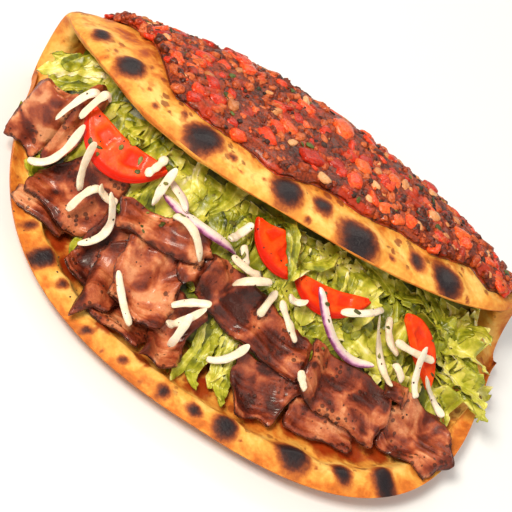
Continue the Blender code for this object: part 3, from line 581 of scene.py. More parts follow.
class NodeBoard:
    """Short words for wiring the nodes of one material."""

    def __init__(self, name: str) -> None:
        """Start a material with a bare shader.

        Args:
            name: name of the material.
        """
        self.material = bpy.data.materials.new(name)
        self.material.use_nodes = True
        self.tree = self.material.node_tree
        self.shader = self.tree.nodes["Principled BSDF"]
        self.place = self.node("ShaderNodeTexCoord").outputs["Object"]

    def node(self, kind: str, **settings: object) -> bpy.types.Node:
        """Add a node and set its properties.

        Args:
            kind: type of the node.
            settings: its properties by name.

        Returns:
            The new node.
        """
        made = self.tree.nodes.new(kind)
        for key, value in settings.items():
            setattr(made, key, value)
        return made

    def feed(self, socket: bpy.types.NodeSocket, value: object) -> None:
        """Link a socket, or set it to a plain value.

        Args:
            socket: the input.
            value: an output to link, or a plain value.
        """
        if isinstance(value, bpy.types.NodeSocket):
            self.tree.links.new(value, socket)
        else:
            socket.default_value = value

    def set(self, name: str, value: object) -> None:
        """Feed one of the shader's own sockets."""
        self.feed(self.shader.inputs[name], value)

    def value(self, name: str) -> bpy.types.NodeSocket:
        """A value kept at the mesh's points."""
        return self.node("ShaderNodeAttribute", attribute_name=name).outputs["Fac"]

    def noise(self, size: float, detail: float = 3.0, rough: float = 0.55,
              bend: float = 0.0) -> bpy.types.NodeSocket:
        """Noise with features of about the given size in metres.

        Args:
            size: size of its features in metres.
            detail: how many finer layers it has.
            rough: strength of the finer layers.
            bend: how far it is warped.

        Returns:
            Its value, 0 to 1.
        """
        made = self.node("ShaderNodeTexNoise")
        for key, value in (("Vector", self.place), ("Scale", 1.0 / size), ("Detail", detail),
                           ("Roughness", rough), ("Distortion", bend)):
            self.feed(made.inputs[key], value)
        return made.outputs["Fac"]

    def spots(self, size: float) -> bpy.types.NodeSocket:
        """Distance to the middle of cells of about the given size, in cells.

        Args:
            size: size of its features in metres.

        Returns:
            The distances.
        """
        made = self.node("ShaderNodeTexVoronoi")
        self.feed(made.inputs["Vector"], self.place)
        self.feed(made.inputs["Scale"], 1.0 / size)
        return made.outputs["Distance"]

    def math(self, kind: Step, a: object, b: object = 0.0, clamp: bool = False) -> bpy.types.NodeSocket:
        """One step of arithmetic.

        Args:
            kind: which step.
            a: first one.
            b: second one.
            clamp: whether the result is kept from 0 to 1.

        Returns:
            The result.
        """
        made = self.node("ShaderNodeMath", operation=kind.value, use_clamp=clamp)
        self.feed(made.inputs[0], a)
        self.feed(made.inputs[1], b)
        return made.outputs[0]

    def add(self, a: object, b: object, clamp: bool = False) -> bpy.types.NodeSocket:
        """Sum of two values."""
        return self.math(Step.ADD, a, b, clamp)

    def minus(self, a: object, b: object) -> bpy.types.NodeSocket:
        """The first value less the second."""
        return self.math(Step.SUBTRACT, a, b)

    def times(self, a: object, b: object, clamp: bool = False) -> bpy.types.NodeSocket:
        """Product of two values."""
        return self.math(Step.MULTIPLY, a, b, clamp)

    def fit(self, value: object, low: float, high: float, out_low: float = 0.0,
            out_high: float = 1.0) -> bpy.types.NodeSocket:
        """A value from low to high carried smoothly to the output range.

        Args:
            value: the value.
            low: where the input range starts.
            high: where it ends.
            out_low: result at its start.
            out_high: result at its end.

        Returns:
            The result.
        """
        made = self.node("ShaderNodeMapRange", interpolation_type="SMOOTHSTEP")
        for key, number in (("Value", value), ("From Min", low), ("From Max", high),
                            ("To Min", out_low), ("To Max", out_high)):
            self.feed(made.inputs[key], number)
        return made.outputs["Result"]

    def swing(self, noise: object, amount: float) -> bpy.types.NodeSocket:
        """A noise, which mostly lies from 0.3 to 0.7, carried to plus or minus the amount."""
        return self.fit(noise, 0.3, 0.7, -amount, amount)

    def ramp(self, value: object, stops: Stops) -> bpy.types.NodeSocket:
        """Colours along a value; each stop is a place and a screen colour.

        Args:
            value: place along the colours, 0 to 1.
            stops: the colours.

        Returns:
            The colour.
        """
        made = self.node("ShaderNodeValToRGB")
        self.feed(made.inputs["Fac"], value)
        elements = made.color_ramp.elements
        for index, (place, colour) in enumerate(stops):
            stop = elements[index] if index < 2 else elements.new(place)
            stop.position = place
            stop.color = linear(colour)
        return made.outputs["Color"]

    def mix(self, share: object, a: object, b: object) -> bpy.types.NodeSocket:
        """Blend of two colours; a plain colour is given as a screen colour.

        Args:
            share: share of the second one.
            a: first one.
            b: second one.

        Returns:
            The colour.
        """
        made = self.node("ShaderNodeMix", data_type="RGBA")
        self.feed(made.inputs["Factor"], share)
        for socket, value in ((made.inputs[6], a), (made.inputs[7], b)):
            self.feed(socket, linear(value) if isinstance(value, tuple) else value)
        return made.outputs[2]

    def blend(self, share: object, a: float, b: float) -> bpy.types.NodeSocket:
        """A number between a and b.

        Args:
            share: share of the second one.
            a: first one.
            b: second one.

        Returns:
            The number.
        """
        made = self.node("ShaderNodeMix", data_type="FLOAT")
        self.feed(made.inputs["Factor"], share)
        self.feed(made.inputs[2], a)
        self.feed(made.inputs[3], b)
        return made.outputs[0]

    def bump(self, height: object, distance: float, strength: float = 1.0) -> None:
        """Relief of a height 0 to 1 over the given depth in metres.

        Args:
            height: the height.
            distance: its depth in metres.
            strength: how much of it is used.
        """
        made = self.node("ShaderNodeBump")
        for key, value in (("Strength", strength), ("Distance", distance), ("Height", height)):
            self.feed(made.inputs[key], value)
        self.set("Normal", made.outputs["Normal"])

    def dress(self, colour: object, rough: object, coat: object = 0.0, coat_rough: float = 0.03,
              scatter: float = 0.0, radius: Colour = (1.0, 0.2, 0.1), specular: float = 0.5) -> None:
        """Feed the shader's main sockets.

        Args:
            colour: base colour.
            rough: roughness.
            coat: weight of the clear coat.
            coat_rough: roughness of the coat.
            scatter: weight of the light that passes under the surface.
            radius: how far its red, green and blue pass, in metres.
            specular: level of plain reflection.
        """
        for key, value in (("Base Color", colour), ("Roughness", rough), ("Coat Weight", coat),
                           ("Coat Roughness", coat_rough), ("Subsurface Weight", scatter),
                           ("Subsurface Radius", radius), ("Specular IOR Level", specular)):
            self.set(key, value)


@dataclass(frozen=True)
class BakedDough:
    """Flatbread: cream where puffed, golden to orange elsewhere, charred in spots."""

    dough: Stops = (
        (0.0, (250, 206, 116)), (0.30, (240, 172, 74)), (0.60, (214, 118, 36)), (1.0, (142, 62, 18)))
    char: Stops = (
        (0.0, (214, 130, 50)), (0.26, (172, 88, 34)), (0.44, (112, 50, 26)), (0.62, (64, 28, 22)),
        (0.82, (34, 18, 24)), (1.0, (22, 13, 22)))
    sauce: Colour = (150, 40, 12)
    freckle: Colour = (128, 52, 18)
    blotch: Colour = (204, 110, 36)
    freckle_pitch: float = 0.0062
    char_gloss: float = 0.10

    def material(self) -> bpy.types.Material:
        """The finish from toasting, burn, freckles and sauce; toasting holds painted shade too.

        Returns:
            The material.
        """
        b = NodeBoard("baked_dough")
        fine = b.noise(0.0022, 4.0, 0.6)
        broad = b.noise(0.013, 3.0, 0.55, 0.6)
        # The toasting value also carries painted shade: the inside of the fold is darker.
        toast_and_shade = b.add(b.value("toast_and_shade"), b.fit(broad, 0.32, 0.68, -0.19, 0.19))
        colour = b.ramp(b.add(toast_and_shade, b.swing(fine, 0.07)), self.dough)
        size = b.fit(b.noise(0.014, 1.0), 0.35, 0.65, 0.06, 0.40)
        size = b.add(size, b.swing(fine, 0.07))
        speck = b.fit(b.minus(size, b.spots(self.freckle_pitch)), -0.05, 0.12)
        speck = b.times(speck, b.value("freckled"), clamp=True)
        colour = b.mix(b.times(speck, 0.80), colour, self.freckle)
        blotch = b.fit(b.noise(0.0060, 2.0, 0.5, 0.4), 0.54, 0.68, 0.0, 0.62)
        colour = b.mix(b.times(blotch, b.value("freckled")), colour, self.blotch)
        stain = b.fit(b.add(b.value("sauce"), b.swing(broad, 0.24)), 0.12, 0.62)
        colour = b.mix(b.times(stain, 0.9), colour, self.sauce)
        grit = b.swing(b.noise(0.0028, 3.0, 0.6), 0.06)
        burn = b.add(b.value("burn"), b.times(grit, b.fit(b.value("burn"), 0.05, 0.3)))
        colour = b.mix(b.fit(burn, 0.04, 0.32), colour, b.ramp(b.fit(burn, -0.04, 0.96), self.char))
        gloss = b.times(b.fit(burn, 0.42, 0.75), self.char_gloss)
        rough = b.minus(b.blend(stain, 0.60, 0.30), gloss)
        b.dress(colour, rough, gloss, 0.12, 0.06, (0.004, 0.002, 0.001), 0.35)
        pits = b.times(b.fit(burn, 0.35, 0.6), b.noise(0.0016, 3.0, 0.7))
        b.bump(b.add(b.times(fine, 0.55), pits), 0.0007, 0.8)
        return b.material


@dataclass(frozen=True)
class ToppingFinish:
    """One kind of bit in the topping: colours by each bit's tone, with wet gloss."""

    name: str
    tones: Stops
    rough: float = 0.42
    grain: float = 0.0012
    mottle: float = 0.30
    coat: float = 0.12
    scatter: float = 0.0
    shine: float = 0.36
    patch: float = 0.0
    patch_colour: Colour = (200, 52, 20)

    def material(self) -> bpy.types.Material:
        """The finish, from the value tone.

        Returns:
            The material.
        """
        b = NodeBoard(self.name)
        fine = b.noise(self.grain, 4.0, 0.65)
        tone = b.add(b.value("tone"), b.fit(fine, 0.25, 0.75, -self.mottle, self.mottle), clamp=True)
        colour = b.ramp(tone, self.tones)
        if self.patch:
            share = b.fit(b.noise(0.011, 2.0, 0.5, 0.5), 0.54, 0.66, 0.0, self.patch)
            colour = b.mix(share, colour, self.patch_colour)
        rough = b.fit(fine, 0.3, 0.7, self.rough - 0.12, self.rough + 0.15)
        b.dress(colour, rough, self.coat, 0.18, self.scatter, (0.003, 0.001, 0.0006), self.shine)
        b.bump(b.noise(self.grain * 1.4, 3.0, 0.6), 0.0005, 0.7)
        return b.material


MINCE = ToppingFinish("browned_mince", (
    (0.0, (56, 18, 7)), (0.25, (104, 36, 14)), (0.5, (146, 54, 20)), (0.75, (178, 72, 28)),
    (1.0, (204, 104, 52))), patch=0.60)
PEPPER = ToppingFinish("pepper_dice", (
    (0.0, (166, 30, 8)), (0.35, (206, 46, 14)), (0.7, (226, 70, 22)), (1.0, (230, 106, 44))),
    rough=0.36, mottle=0.34, coat=0.22, scatter=0.12)
ONION_BIT = ToppingFinish("onion_bits", (
    (0.0, (180, 104, 58)), (0.5, (212, 140, 86)), (1.0, (232, 176, 124))),
    rough=0.35, mottle=0.2, coat=0.2, scatter=0.15)
HERB = ToppingFinish("chopped_herb", (
    (0.0, (34, 34, 16)), (0.5, (62, 70, 26)), (1.0, (92, 108, 40))), rough=0.5, mottle=0.3)
CHAR_BIT = ToppingFinish("charred_bits", ((0.0, (22, 14, 14)), (1.0, (70, 36, 24))), rough=0.5, mottle=0.3)


@dataclass(frozen=True)
class BitKind:
    """One kind of bit in the topping: how many, how large and how it lies.

    Widths, lift and places are in metres, the fixed bits' (x, s, width) in mm; flat is the
    height as a share of the width and dents is the depth of the dents.
    """

    name: str
    finish: ToppingFinish
    squareness: float
    count: int
    low: float
    high: float
    flat: float
    lift: float
    dents: float
    seed: int
    fixed: Rows = ()


BITS = (
    BitKind("mince_crumbs", MINCE, 2.6, 1000, 0.0026, 0.0066, 0.72, 0.0018, 0.50, 51),
    BitKind("pepper_dice", PEPPER, 4.0, 120, 0.0040, 0.0092, 0.45, 0.0022, 0.22, 52, (
        (-77, 96, 6), (-63, 113, 7), (-58, 103, 6), (-28, 121, 9), (-40, 130, 6), (-35, 106, 5),
        (-18, 104, 7), (-5, 116, 10), (8, 78, 10), (-12, 80, 8), (-43, 77, 8), (-55, 68, 6),
        (17, 111, 9), (22, 90, 6), (36, 93, 8), (30, 112, 7), (61, 87, 5), (78, 77, 9),
        (58, 65, 8), (85, 60, 8), (74, 63, 6), (96, 72, 6), (-90, 76, 5), (49, 106, 6),
        (-22, 90, 6), (33, 70, 6), (-75, 68, 6), (5, 62, 7))),
    BitKind("onion_bits", ONION_BIT, 2.6, 70, 0.0030, 0.0064, 0.42, 0.0028, 0.30, 53, (
        (-46, 112, 6), (3, 124, 6), (-26, 98, 6), (44, 84, 5), (61, 87, 6), (-60, 98, 5))),
    BitKind("herb_bits", HERB, 2.6, 60, 0.0018, 0.0042, 0.20, 0.0032, 0.30, 54),
    BitKind("charred_bits", CHAR_BIT, 2.6, 120, 0.0012, 0.0034, 0.55, 0.0030, 0.40, 55))


# ----------------------------------------------------------------------------- bread
@dataclass(frozen=True)
class Bread:
    """The folded round with its char spots and stains."""

    sheet: FoldedSheet = FoldedSheet()
    stations: int = 250
    rows: int = 92
    relief: float = 0.00045
    fine_relief: float = 0.00022
    pale_rim: float = 0.009
    edge_blend: float = 0.006
    spot_reach: float = 1.7
    spot_wander: float = 0.10
    upper_blisters: Rows = (
        (-121, 60, 13, 1.8), (-111, 86, 13, 1.6), (-93, 111, 14, 2.2), (-66, 129, 11, 1.2),
        (-51, 139, 20, 3.0), (-36, 142, 10, 1.2), (-7, 140, 17, 2.8), (10, 134, 12, 1.6),
        (33, 134, 23, 3.4), (51, 130, 10, 1.2), (64, 116, 11, 1.4), (82, 105, 16, 2.6))
    lower_blisters: Rows = (
        (-104, -83, 12, 1.4), (-93, -98, 15, 2.0), (-79, -108, 10, 1.0), (-27, -139, 10, 1.0),
        (-7, -140, 11, 1.2), (12, -138, 13, 1.6), (46, -128, 20, 3.0), (70, -117, 14, 1.6),
        (90, -110, 17, 2.4))
    char_spots: Rows = (
        (-129, 37, 7, 11), (-121, 52, 9, 16), (-110, 90, 8.6, 13), (-94, 114, 12, 14), (-54, 141, 15.5, 17.5),
        (-11, 143, 13.5, 14), (7, 136, 9.2, 9), (28, 139, 18.5, 16.5), (59, 118, 8, 10),
        (76, 111, 14, 15.5), (-39, 143, 5, 5), (-105, 111, 2.8, 3), (-78, 134, 3.8, 5),
        (-65, 131, 4, 8), (3, 148, 4.2, 3), (-8, 149, 3.4, 2), (90, 106, 4.2, 2.6),
        (46, 131, 4.4, 3.6), (-102, 103, 2.6, 6), (-85, 106, 2.8, 5), (-22, 144, 3, 3),
        (38, 140, 3, 2), (-83, 124, 2.6, 3.6), (-33, 148, 2.6, 2), (84, 92, 3, 3),
        (-96, -103, 11, 9), (-83, -113, 5.9, 5.6), (-108, -88, 5.9, 5.6), (-64, -130, 6.4, 3.2),
        (-44, -137, 5.5, 3.2), (-22, -142, 7.4, 4.8), (-6, -143, 8.3, 4), (10, -142, 11, 8),
        (44, -134, 15.5, 12), (70, -124, 10.5, 9), (92, -112, 13, 11), (-54, -136, 2.4, 1.6),
        (19, -143, 2.8, 1.6), (-126, -52, 2.2, 4), (-122, -62, 2, 3.2), (-113, -75, 2.6, 3.2),
        (-33, -142, 2.8, 1.6), (57, -132, 2.9, 1.9), (87, -109, 2.8, 3.2), (-74, -125, 2.9, 1.6))
    stains: Rows = (
        (-79, -97, 16), (-91, -82, 16), (-107, -77, 9), (-58, -124, 13), (-35, -130, 13),
        (-5, -123, 18), (56, -104, 26), (70, -99, 22), (40, -112, 14), (19, -120, 12),
        (-29, -115, 12), (-113, -68, 8), (86, -92, 16))

    def places(self) -> tuple[np.ndarray, np.ndarray]:
        """Grid of x and s, closer together towards every edge.

        x follows a sine; s is the mean of even steps and steps eased by a sine.

        Returns:
            The grids of x and of s.
        """
        angle = np.linspace(-0.4995 * math.pi, 0.4995 * math.pi, self.stations)
        x = self.sheet.half_length * np.sin(angle)
        t = np.linspace(0.0, 1.0, self.rows)
        lower, upper = self.sheet.reach(x)
        ease = t - 0.8 * np.sin(2.0 * math.pi * t) / (2.0 * math.pi)
        front = -lower[:, None] * (1.0 - 0.5 * (t + ease))[None]
        flap = upper[:, None] * (0.5 * (t + ease))[None]
        s = np.concatenate([front, flap[:, 1:]], 1)
        return np.repeat(x[:, None], s.shape[1], 1), s

    def burn(self, x: np.ndarray, s: np.ndarray) -> np.ndarray:
        """1 in the middle of a char spot, 0 from 1.7 radii out, its outline uneven.

        Args:
            x: places along the fold.
            s: places round the sheet.

        Returns:
            The values.
        """
        plane = np.stack([x, s], -1)
        wander = layered_noise(plane, 0.007, 3)
        total = np.zeros(x.shape)
        for place_x, place_s, wide, long in self.char_spots:
            dx, ds = (x / MM - place_x) / (0.5 * wide), (s / MM - place_s) / (0.5 * long)
            ratio = np.sqrt(dx**2 + ds**2)
            depth = min(1.0, 0.24 + wide / 16.0)
            spot = self.spot_reach - ratio * (1.0 + self.spot_wander * wander)
            spot = np.clip(spot, 0.0, self.spot_reach) / self.spot_reach
            total = np.maximum(total, depth * spot)
        return total

    def build(self) -> None:
        """Both faces on one fine grid, with the values for toasting and painted shade, burn, freckled and
        sauce.

        Two layers of noise give the crust its relief. The toasting is palest in a bell curve
        behind the rim, darker at its very edge and outside on the lower flap and the foot of the
        fold; painted shade darkens the inside of the fold, less near the edge; stains are round.
        """
        x, s = self.places()
        out, inn = self.sheet.faces_at(x, s, self.upper_blisters, self.lower_blisters)
        d = self.sheet.edge_distance(x, s)
        normal = self.sheet.inward(x, s)
        plane = np.stack([x, s], -1)
        full = smooth_step(d, 0.0, self.edge_blend)[..., None]
        relief = self.relief * layered_noise(plane, 0.009, 11)
        relief = relief + self.fine_relief * layered_noise(plane, 0.003, 12)
        out = out + (relief * (s > 0.01))[..., None] * normal * full
        inn = inn + relief[..., None] * normal * full
        out, inn = (np.clip(face, *np.array(solid_box)) for face in (out, inn))
        burn = self.burn(x, s)
        on_top = smooth_step(s, 0.03, 0.06)
        lit = np.stack([burn * (s > 0), burn * (s < 0)])
        rim = bell(d - self.pale_rim, self.pale_rim)
        tip = smooth_step(0.004 - d, -0.001, 0.004)
        # Painted shade: the inside of the fold and of the upper flap is darkened, less near the edge.
        inside = 0.50 + 0.34 * smooth_step(s, -0.03, 0.03) * smooth_step(d, self.edge_blend, 0.022)
        toast_out = 0.46 - 0.34 * rim * on_top + 0.10 * tip + 0.08 * smooth_step(0.03 - s, 0.0, 0.03)
        toast_and_shade_in = inside - 0.26 * rim + 0.14 * tip
        near_top = smooth_step(d, 0.018, 0.030) * on_top
        stain = np.zeros(x.shape)
        for place_x, place_s, wide in self.stains:
            away = np.hypot(x - place_x * MM, s - place_s * MM) / (0.5 * wide * MM)
            stain = np.maximum(stain, np.clip(1.25 - away, 0.0, 1.0))
        freckled = smooth_step(d, 0.002, self.edge_blend)
        shell = slab(inn, out, {
            "burn": lit[::-1],
            "toast_and_shade": np.stack([toast_and_shade_in, toast_out + 0.16 * near_top]),
            "freckled": np.stack([freckled * 0.8, freckled]),
            "sauce": np.stack([stain * (s < -0.01), 0.30 * near_top]),
        })
        put("bread_round", shell, BakedDough().material(), ["bread"])


# --------------------------------------------------------------------------- topping
@dataclass(frozen=True)
class Topping:
    """Browned mince on the upper flap, with dice, onion, herb and charred bits in it."""

    bread: Bread = Bread()
    gap: float = 0.0008
    start: float = 0.047
    drop: float = 0.012
    rim: float = 0.0220
    left_rim: float = 0.057
    rim_turn: float = -0.070
    thick: float = 0.0022
    crumble: float = 0.0026
    left_end: float = 0.88
    right_end: float = 0.93
    stations: int = 340
    rows: int = 120
    lumps_across: float = 0.0052
    lumps_seed: int = 21
    margin: float = 0.003
    fixed_scale: float = 1.25
    edge_thick: float = 0.0006
    taper_run: float = 0.004
    clearance: float = 0.0001
    fade_run: float = 0.016

    def plain_rim(self, x: np.ndarray) -> np.ndarray:
        """Width of bread left bare behind the lip, widest at the left end.

        Args:
            x: places along the fold.

        Returns:
            The widths in metres.
        """
        widen = np.clip((self.rim_turn - x) / 0.020, 0.0, 1.0)
        dip = bell(x + 0.020, 0.012)
        narrow = np.clip((x - 0.088) / 0.012, 0.0, 1.0)
        rim = self.rim + 0.0015 * np.sin(x / 0.006) - 0.007 * dip - 0.010 * narrow
        return rim + (self.left_rim - self.rim) * widen * widen * (3.0 - 2.0 * widen)

    def span(self, x: np.ndarray) -> tuple[np.ndarray, np.ndarray]:
        """First and last place round the sheet that the mince covers.

        Args:
            x: places along the fold.

        Returns:
            The two places.
        """
        half = self.bread.sheet.half_length
        first = self.start - self.drop * (np.abs(x) / half) ** 4
        return first, self.bread.sheet.reach(x)[1] - self.plain_rim(x)

    def surface(self, x: np.ndarray, s: np.ndarray) -> tuple[np.ndarray, np.ndarray]:
        """Bread's outer face and the direction away from it.

        Args:
            x: places along the fold.
            s: places round the sheet.

        Returns:
            The points and the directions, (..., 3).
        """
        bread = self.bread
        out = bread.sheet.faces_at(x, s, bread.upper_blisters, bread.lower_blisters)[0]
        return out, -bread.sheet.inward(x, s)

    def height(self, x: np.ndarray, s: np.ndarray) -> np.ndarray:
        """Height of the mince, 0 to 1: rounded lumps of two sizes with fine grit.

        Args:
            x: places along the fold.
            s: places round the sheet.

        Returns:
            The heights.
        """
        plane = np.stack([x, s], -1)
        big, mark = lumps(plane, self.lumps_across, self.lumps_seed)
        small, _ = lumps(plane, 0.5 * self.lumps_across, self.lumps_seed + 3)
        round_big = bulge(big / 0.85, 2) * (0.45 + 0.55 * mark)
        round_small = bulge(small / 0.9, 2)
        grit = 0.16 * layered_noise(plane, 0.0017, 27)
        return np.clip(0.50 * round_big + 0.28 * round_small + grit + 0.10, 0.0, 1.0)

    def base(self) -> Shell:
        """The layer itself, from its bare underside to the lumpy top.

        The top stands off the bread by the thickness plus the crumble times the height of
        the lumps, tapers to the rim by a square root, and stays inside the solids' box.

        Returns:
            The closed layer, with the value tone.
        """
        half = self.bread.sheet.half_length
        x = np.linspace(-self.left_end * half, self.right_end * half, self.stations)
        first, last = self.span(x)
        share = np.linspace(0.0, 1.0, self.rows)
        wave = 0.0011 * layered_noise(np.stack([x, x * 0.0], -1), 0.006, 41)
        s = first[:, None] + (last - first + wave)[:, None] * share[None]
        x = np.repeat(x[:, None], self.rows, 1)
        end = np.minimum(x + self.left_end * half, self.right_end * half - x)
        rim = np.minimum(np.minimum(s - first[:, None], last[:, None] - s), end)
        out, normal = self.surface(x, s)
        taper = np.sqrt(np.clip(rim / self.taper_run, 0.0, 1.0))
        rise = self.thick - self.edge_thick + self.crumble * self.height(x, s)
        top = self.gap + self.edge_thick + taper * rise
        room = (solid_box[1][1] - self.clearance - out[..., 1]) / np.maximum(normal[..., 1], 0.05)
        top = top * np.clip(room / (self.gap + self.thick + self.crumble), 0.0, 1.0)
        plane = np.stack([x, s], -1)
        mark = lumps(plane, self.lumps_across, self.lumps_seed)[1]
        tone = 0.32 + 0.32 * (mark - 0.5) + 0.25 * layered_noise(plane, 0.012, 43)
        return slab(out + top[..., None] * normal, out + 0.5 * self.gap * normal, {"tone": tone})

    def bits(self, kind: BitKind) -> Shell:
        """Bits of one kind, spread over the mince by chance after those with a set place.

        They get smaller and lower towards the fold, where the mince is smeared thin.

        Args:
            kind: what they are.

        Returns:
            One shell of all of them.
        """
        rng = np.random.default_rng(kind.seed)
        half, known = self.bread.sheet.half_length, len(kind.fixed)
        ends = (-self.left_end * half + self.margin, self.right_end * half - self.margin)
        x = np.concatenate([[f[0] * MM for f in kind.fixed], rng.uniform(*ends, kind.count)])
        count = len(x)
        first, last = self.span(x)
        s = first + (last - first) * rng.uniform(0.02, 0.985, count)
        s[:known] = [f[1] * MM for f in kind.fixed]
        wide = rng.uniform(kind.low, kind.high, count)
        wide[:known] = [self.fixed_scale * f[2] * MM for f in kind.fixed]
        out, normal = self.surface(x, s)
        turn, tilt = rng.uniform(0, 2 * math.pi, count), rng.normal(0, 0.28, count)
        turns = spun(normal, sideways(normal), turn, tilt)
        deep = smooth_step(s - first, self.margin, self.fade_run)
        wide = wide * (0.55 + 0.45 * deep)
        shares = [rng.uniform(0.85, 1.15, count), rng.uniform(0.6, 0.95, count),
                  kind.flat * rng.uniform(0.8, 1.2, count)]
        sizes = 0.5 * wide[:, None] * np.stack(shares, 1)
        rise = kind.lift * (0.4 + 0.6 * deep) + 0.6 * self.crumble * self.height(x, s)
        near = np.maximum(np.minimum(last - s, s - first), 0.0)
        rise = self.gap + np.minimum(rise, 0.0009 + 1.2 * near)
        form = cube_ball(4, kind.squareness)
        return scattered(form, out + rise[:, None] * normal, turns, sizes, kind.dents, kind.seed)

    def build(self) -> None:
        """The layer and its bits, one piece for each kind."""
        put("mince_layer", self.base(), MINCE.material(), ["topping"])
        for kind in BITS:
            put(kind.name, self.bits(kind), kind.finish.material(), [])


# ------------------------------------------------------------ heights and soft curves
class HeightField:
    """Heights over the plan, on a square grid of half a millimetre."""

    cell: float = 0.0005
    low: tuple[float, float] = (-0.140, -0.100)
    size: tuple[int, int] = (560, 400)

    def __init__(self, fill: float) -> None:
        """Start with one height everywhere."""
        self.grid = np.full(self.size, fill)

    def index(self, plan: np.ndarray) -> tuple[np.ndarray, np.ndarray]:
        """Cell numbers under points of the plan.

        Args:
            plan: places of the plan, (..., 2).

        Returns:
            First and second number of each cell.
        """
        i = np.clip(((plan[..., 0] - self.low[0]) / self.cell).astype(int), 0, self.size[0] - 1)
        j = np.clip(((plan[..., 1] - self.low[1]) / self.cell).astype(int), 0, self.size[1] - 1)
        return i, j

    def at(self, plan: np.ndarray) -> np.ndarray:
        """Height under points of the plan."""
        return self.grid[self.index(plan)]

    def raise_to(self, points: np.ndarray) -> None:
        """Lift cells to the points that lie above them."""
        np.maximum.at(self.grid, self.index(points), points[..., 2])

    def lower_to(self, points: np.ndarray) -> None:
        """Drop cells to the points that hang below them."""
        np.minimum.at(self.grid, self.index(points), points[..., 2])

    def spread(self, reach: int, lowest: bool = False) -> "HeightField":
        """Each cell takes the highest, or lowest, value within reach cells.

        Args:
            reach: how many cells far.
            lowest: whether it is the lowest value.

        Returns:
            A new field.
        """
        made = HeightField(0.0)
        grid = self.grid
        for axis in (0, 1):
            moved = [np.roll(grid, k, axis) for k in range(-reach, reach + 1)]
            grid = np.min(moved, 0) if lowest else np.max(moved, 0)
        made.grid = grid
        return made

    def softened(self, reach: int, empty: float) -> "HeightField":
        """Mean of the filled cells within reach, taken twice along each axis.

        Args:
            reach: how many cells far.
            empty: height up to which a cell counts as empty.

        Returns:
            A new field.
        """
        filled = (self.grid > empty).astype(float)
        value = np.where(self.grid > empty, self.grid, 0.0)
        weights = np.ones(2 * reach + 1) / (2 * reach + 1)
        for axis in (0, 1, 0, 1):
            value = np.apply_along_axis(np.convolve, axis, value, weights, "same")
            filled = np.apply_along_axis(np.convolve, axis, filled, weights, "same")
        made = HeightField(0.0)
        made.grid = value / np.maximum(filled, 1e-6)
        return made


def node_triangles(name: str) -> np.ndarray:
    """Corners of a solid's triangles, (t, 3, 3).

    Args:
        name: the solid.

    Returns:
        The corners.
    """
    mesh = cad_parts[name].data
    mesh.calc_loop_triangles()
    points = np.empty(len(mesh.vertices) * 3, np.float32)
    mesh.vertices.foreach_get("co", points)
    corners = np.empty(len(mesh.loop_triangles) * 3, np.int32)
    mesh.loop_triangles.foreach_get("vertices", corners)
    return points.reshape(-1, 3).astype(float)[corners.reshape(-1, 3)]


def dense_points(triangles: np.ndarray, spacing: float) -> np.ndarray:
    """Points all over some triangles, as weighted sums of their corners.

    Args:
        triangles: their corners, (t, 3, 3).
        spacing: largest distance between points.

    Returns:
        The points, (n, 3).
    """
    longest = np.linalg.norm(triangles - np.roll(triangles, 1, 1), axis=2).max(1)
    steps = np.maximum(1, np.ceil(longest / spacing)).astype(int)
    found = []
    for n in np.unique(steps):
        i, j = crossed(np.arange(n + 1), np.arange(n + 1))
        keep = i + j <= n
        weights = np.stack([i[keep], j[keep], n - i[keep] - j[keep]], 1) / n
        found.append(np.einsum("kw,twc->tkc", weights, triangles[steps == n]).reshape(-1, 3))
    return np.concatenate(found)


def node_lows(name: str, plan: np.ndarray) -> np.ndarray:
    """Lowest corner of a solid at known places of its plan.

    Args:
        name: the solid.
        plan: places of its grid of corners, (..., 2).

    Returns:
        The heights, (...).
    """
    corners = node_triangles(name).reshape(-1, 3)
    flat = plan.reshape(-1, 2)
    away = ((flat[:, None, :] - corners[None, :, :2]) ** 2).sum(-1)
    near = away <= away.min(1, keepdims=True) + 1e-9
    low = np.where(near, corners[None, :, 2], 9.0).min(1)
    return low.reshape(plan.shape[:-1])


def spline_at(grid: np.ndarray, u: np.ndarray, v: np.ndarray) -> np.ndarray:
    """Smooth surface through a coarse grid of points.

    Between four neighbours along each side the cubic of Catmull and Rom is used, which
    passes through the middle two; u and v count rows and columns.

    Args:
        grid: the coarse points, (rows, cols, 3).
        u: places along its rows.
        v: places along its columns.

    Returns:
        The points, (..., 3).
    """
    total = 0.0
    parts = []
    for place, count in ((u, grid.shape[0]), (v, grid.shape[1])):
        base = np.clip(np.floor(place).astype(int), 0, count - 2)
        t = place - base
        weights = (
            -0.5 * t + t**2 - 0.5 * t**3, 1.0 - 2.5 * t**2 + 1.5 * t**3,
            0.5 * t + 2.0 * t**2 - 1.5 * t**3, -0.5 * t**2 + 0.5 * t**3)
        parts.append((base, weights, count))
    (bu, wu, nu), (bv, wv, nv) = parts
    for m in range(4):
        for n in range(4):
            i, j = bu + m - 1, bv + n - 1
            ii, jj = np.clip(i, 0, nu - 1), np.clip(j, 0, nv - 1)
            point = grid[ii, jj]
            back_i, back_j = np.clip(2 * ii - i, 0, nu - 1), np.clip(2 * jj - j, 0, nv - 1)
            point = point + np.where((i != ii)[..., None], point - grid[back_i, jj], 0.0)
            point = point + np.where((j != jj)[..., None], point - grid[ii, back_j], 0.0)
            total = total + (wu[m] * wv[n])[..., None] * point
    return total


def finer(points: np.ndarray) -> np.ndarray:
    """A grid of points with the middles of its cells added, so that no height cell is missed.

    Args:
        points: the grid, (rows, cols, 3).

    Returns:
        All the points, (n, 3).
    """
    middle = 0.25 * (points[1:, 1:] + points[:-1, 1:] + points[1:, :-1] + points[:-1, :-1])
    side = 0.5 * (points[1:] + points[:-1])
    across = 0.5 * (points[:, 1:] + points[:, :-1])
    return np.concatenate([p.reshape(-1, 3) for p in (points, middle, side, across)])


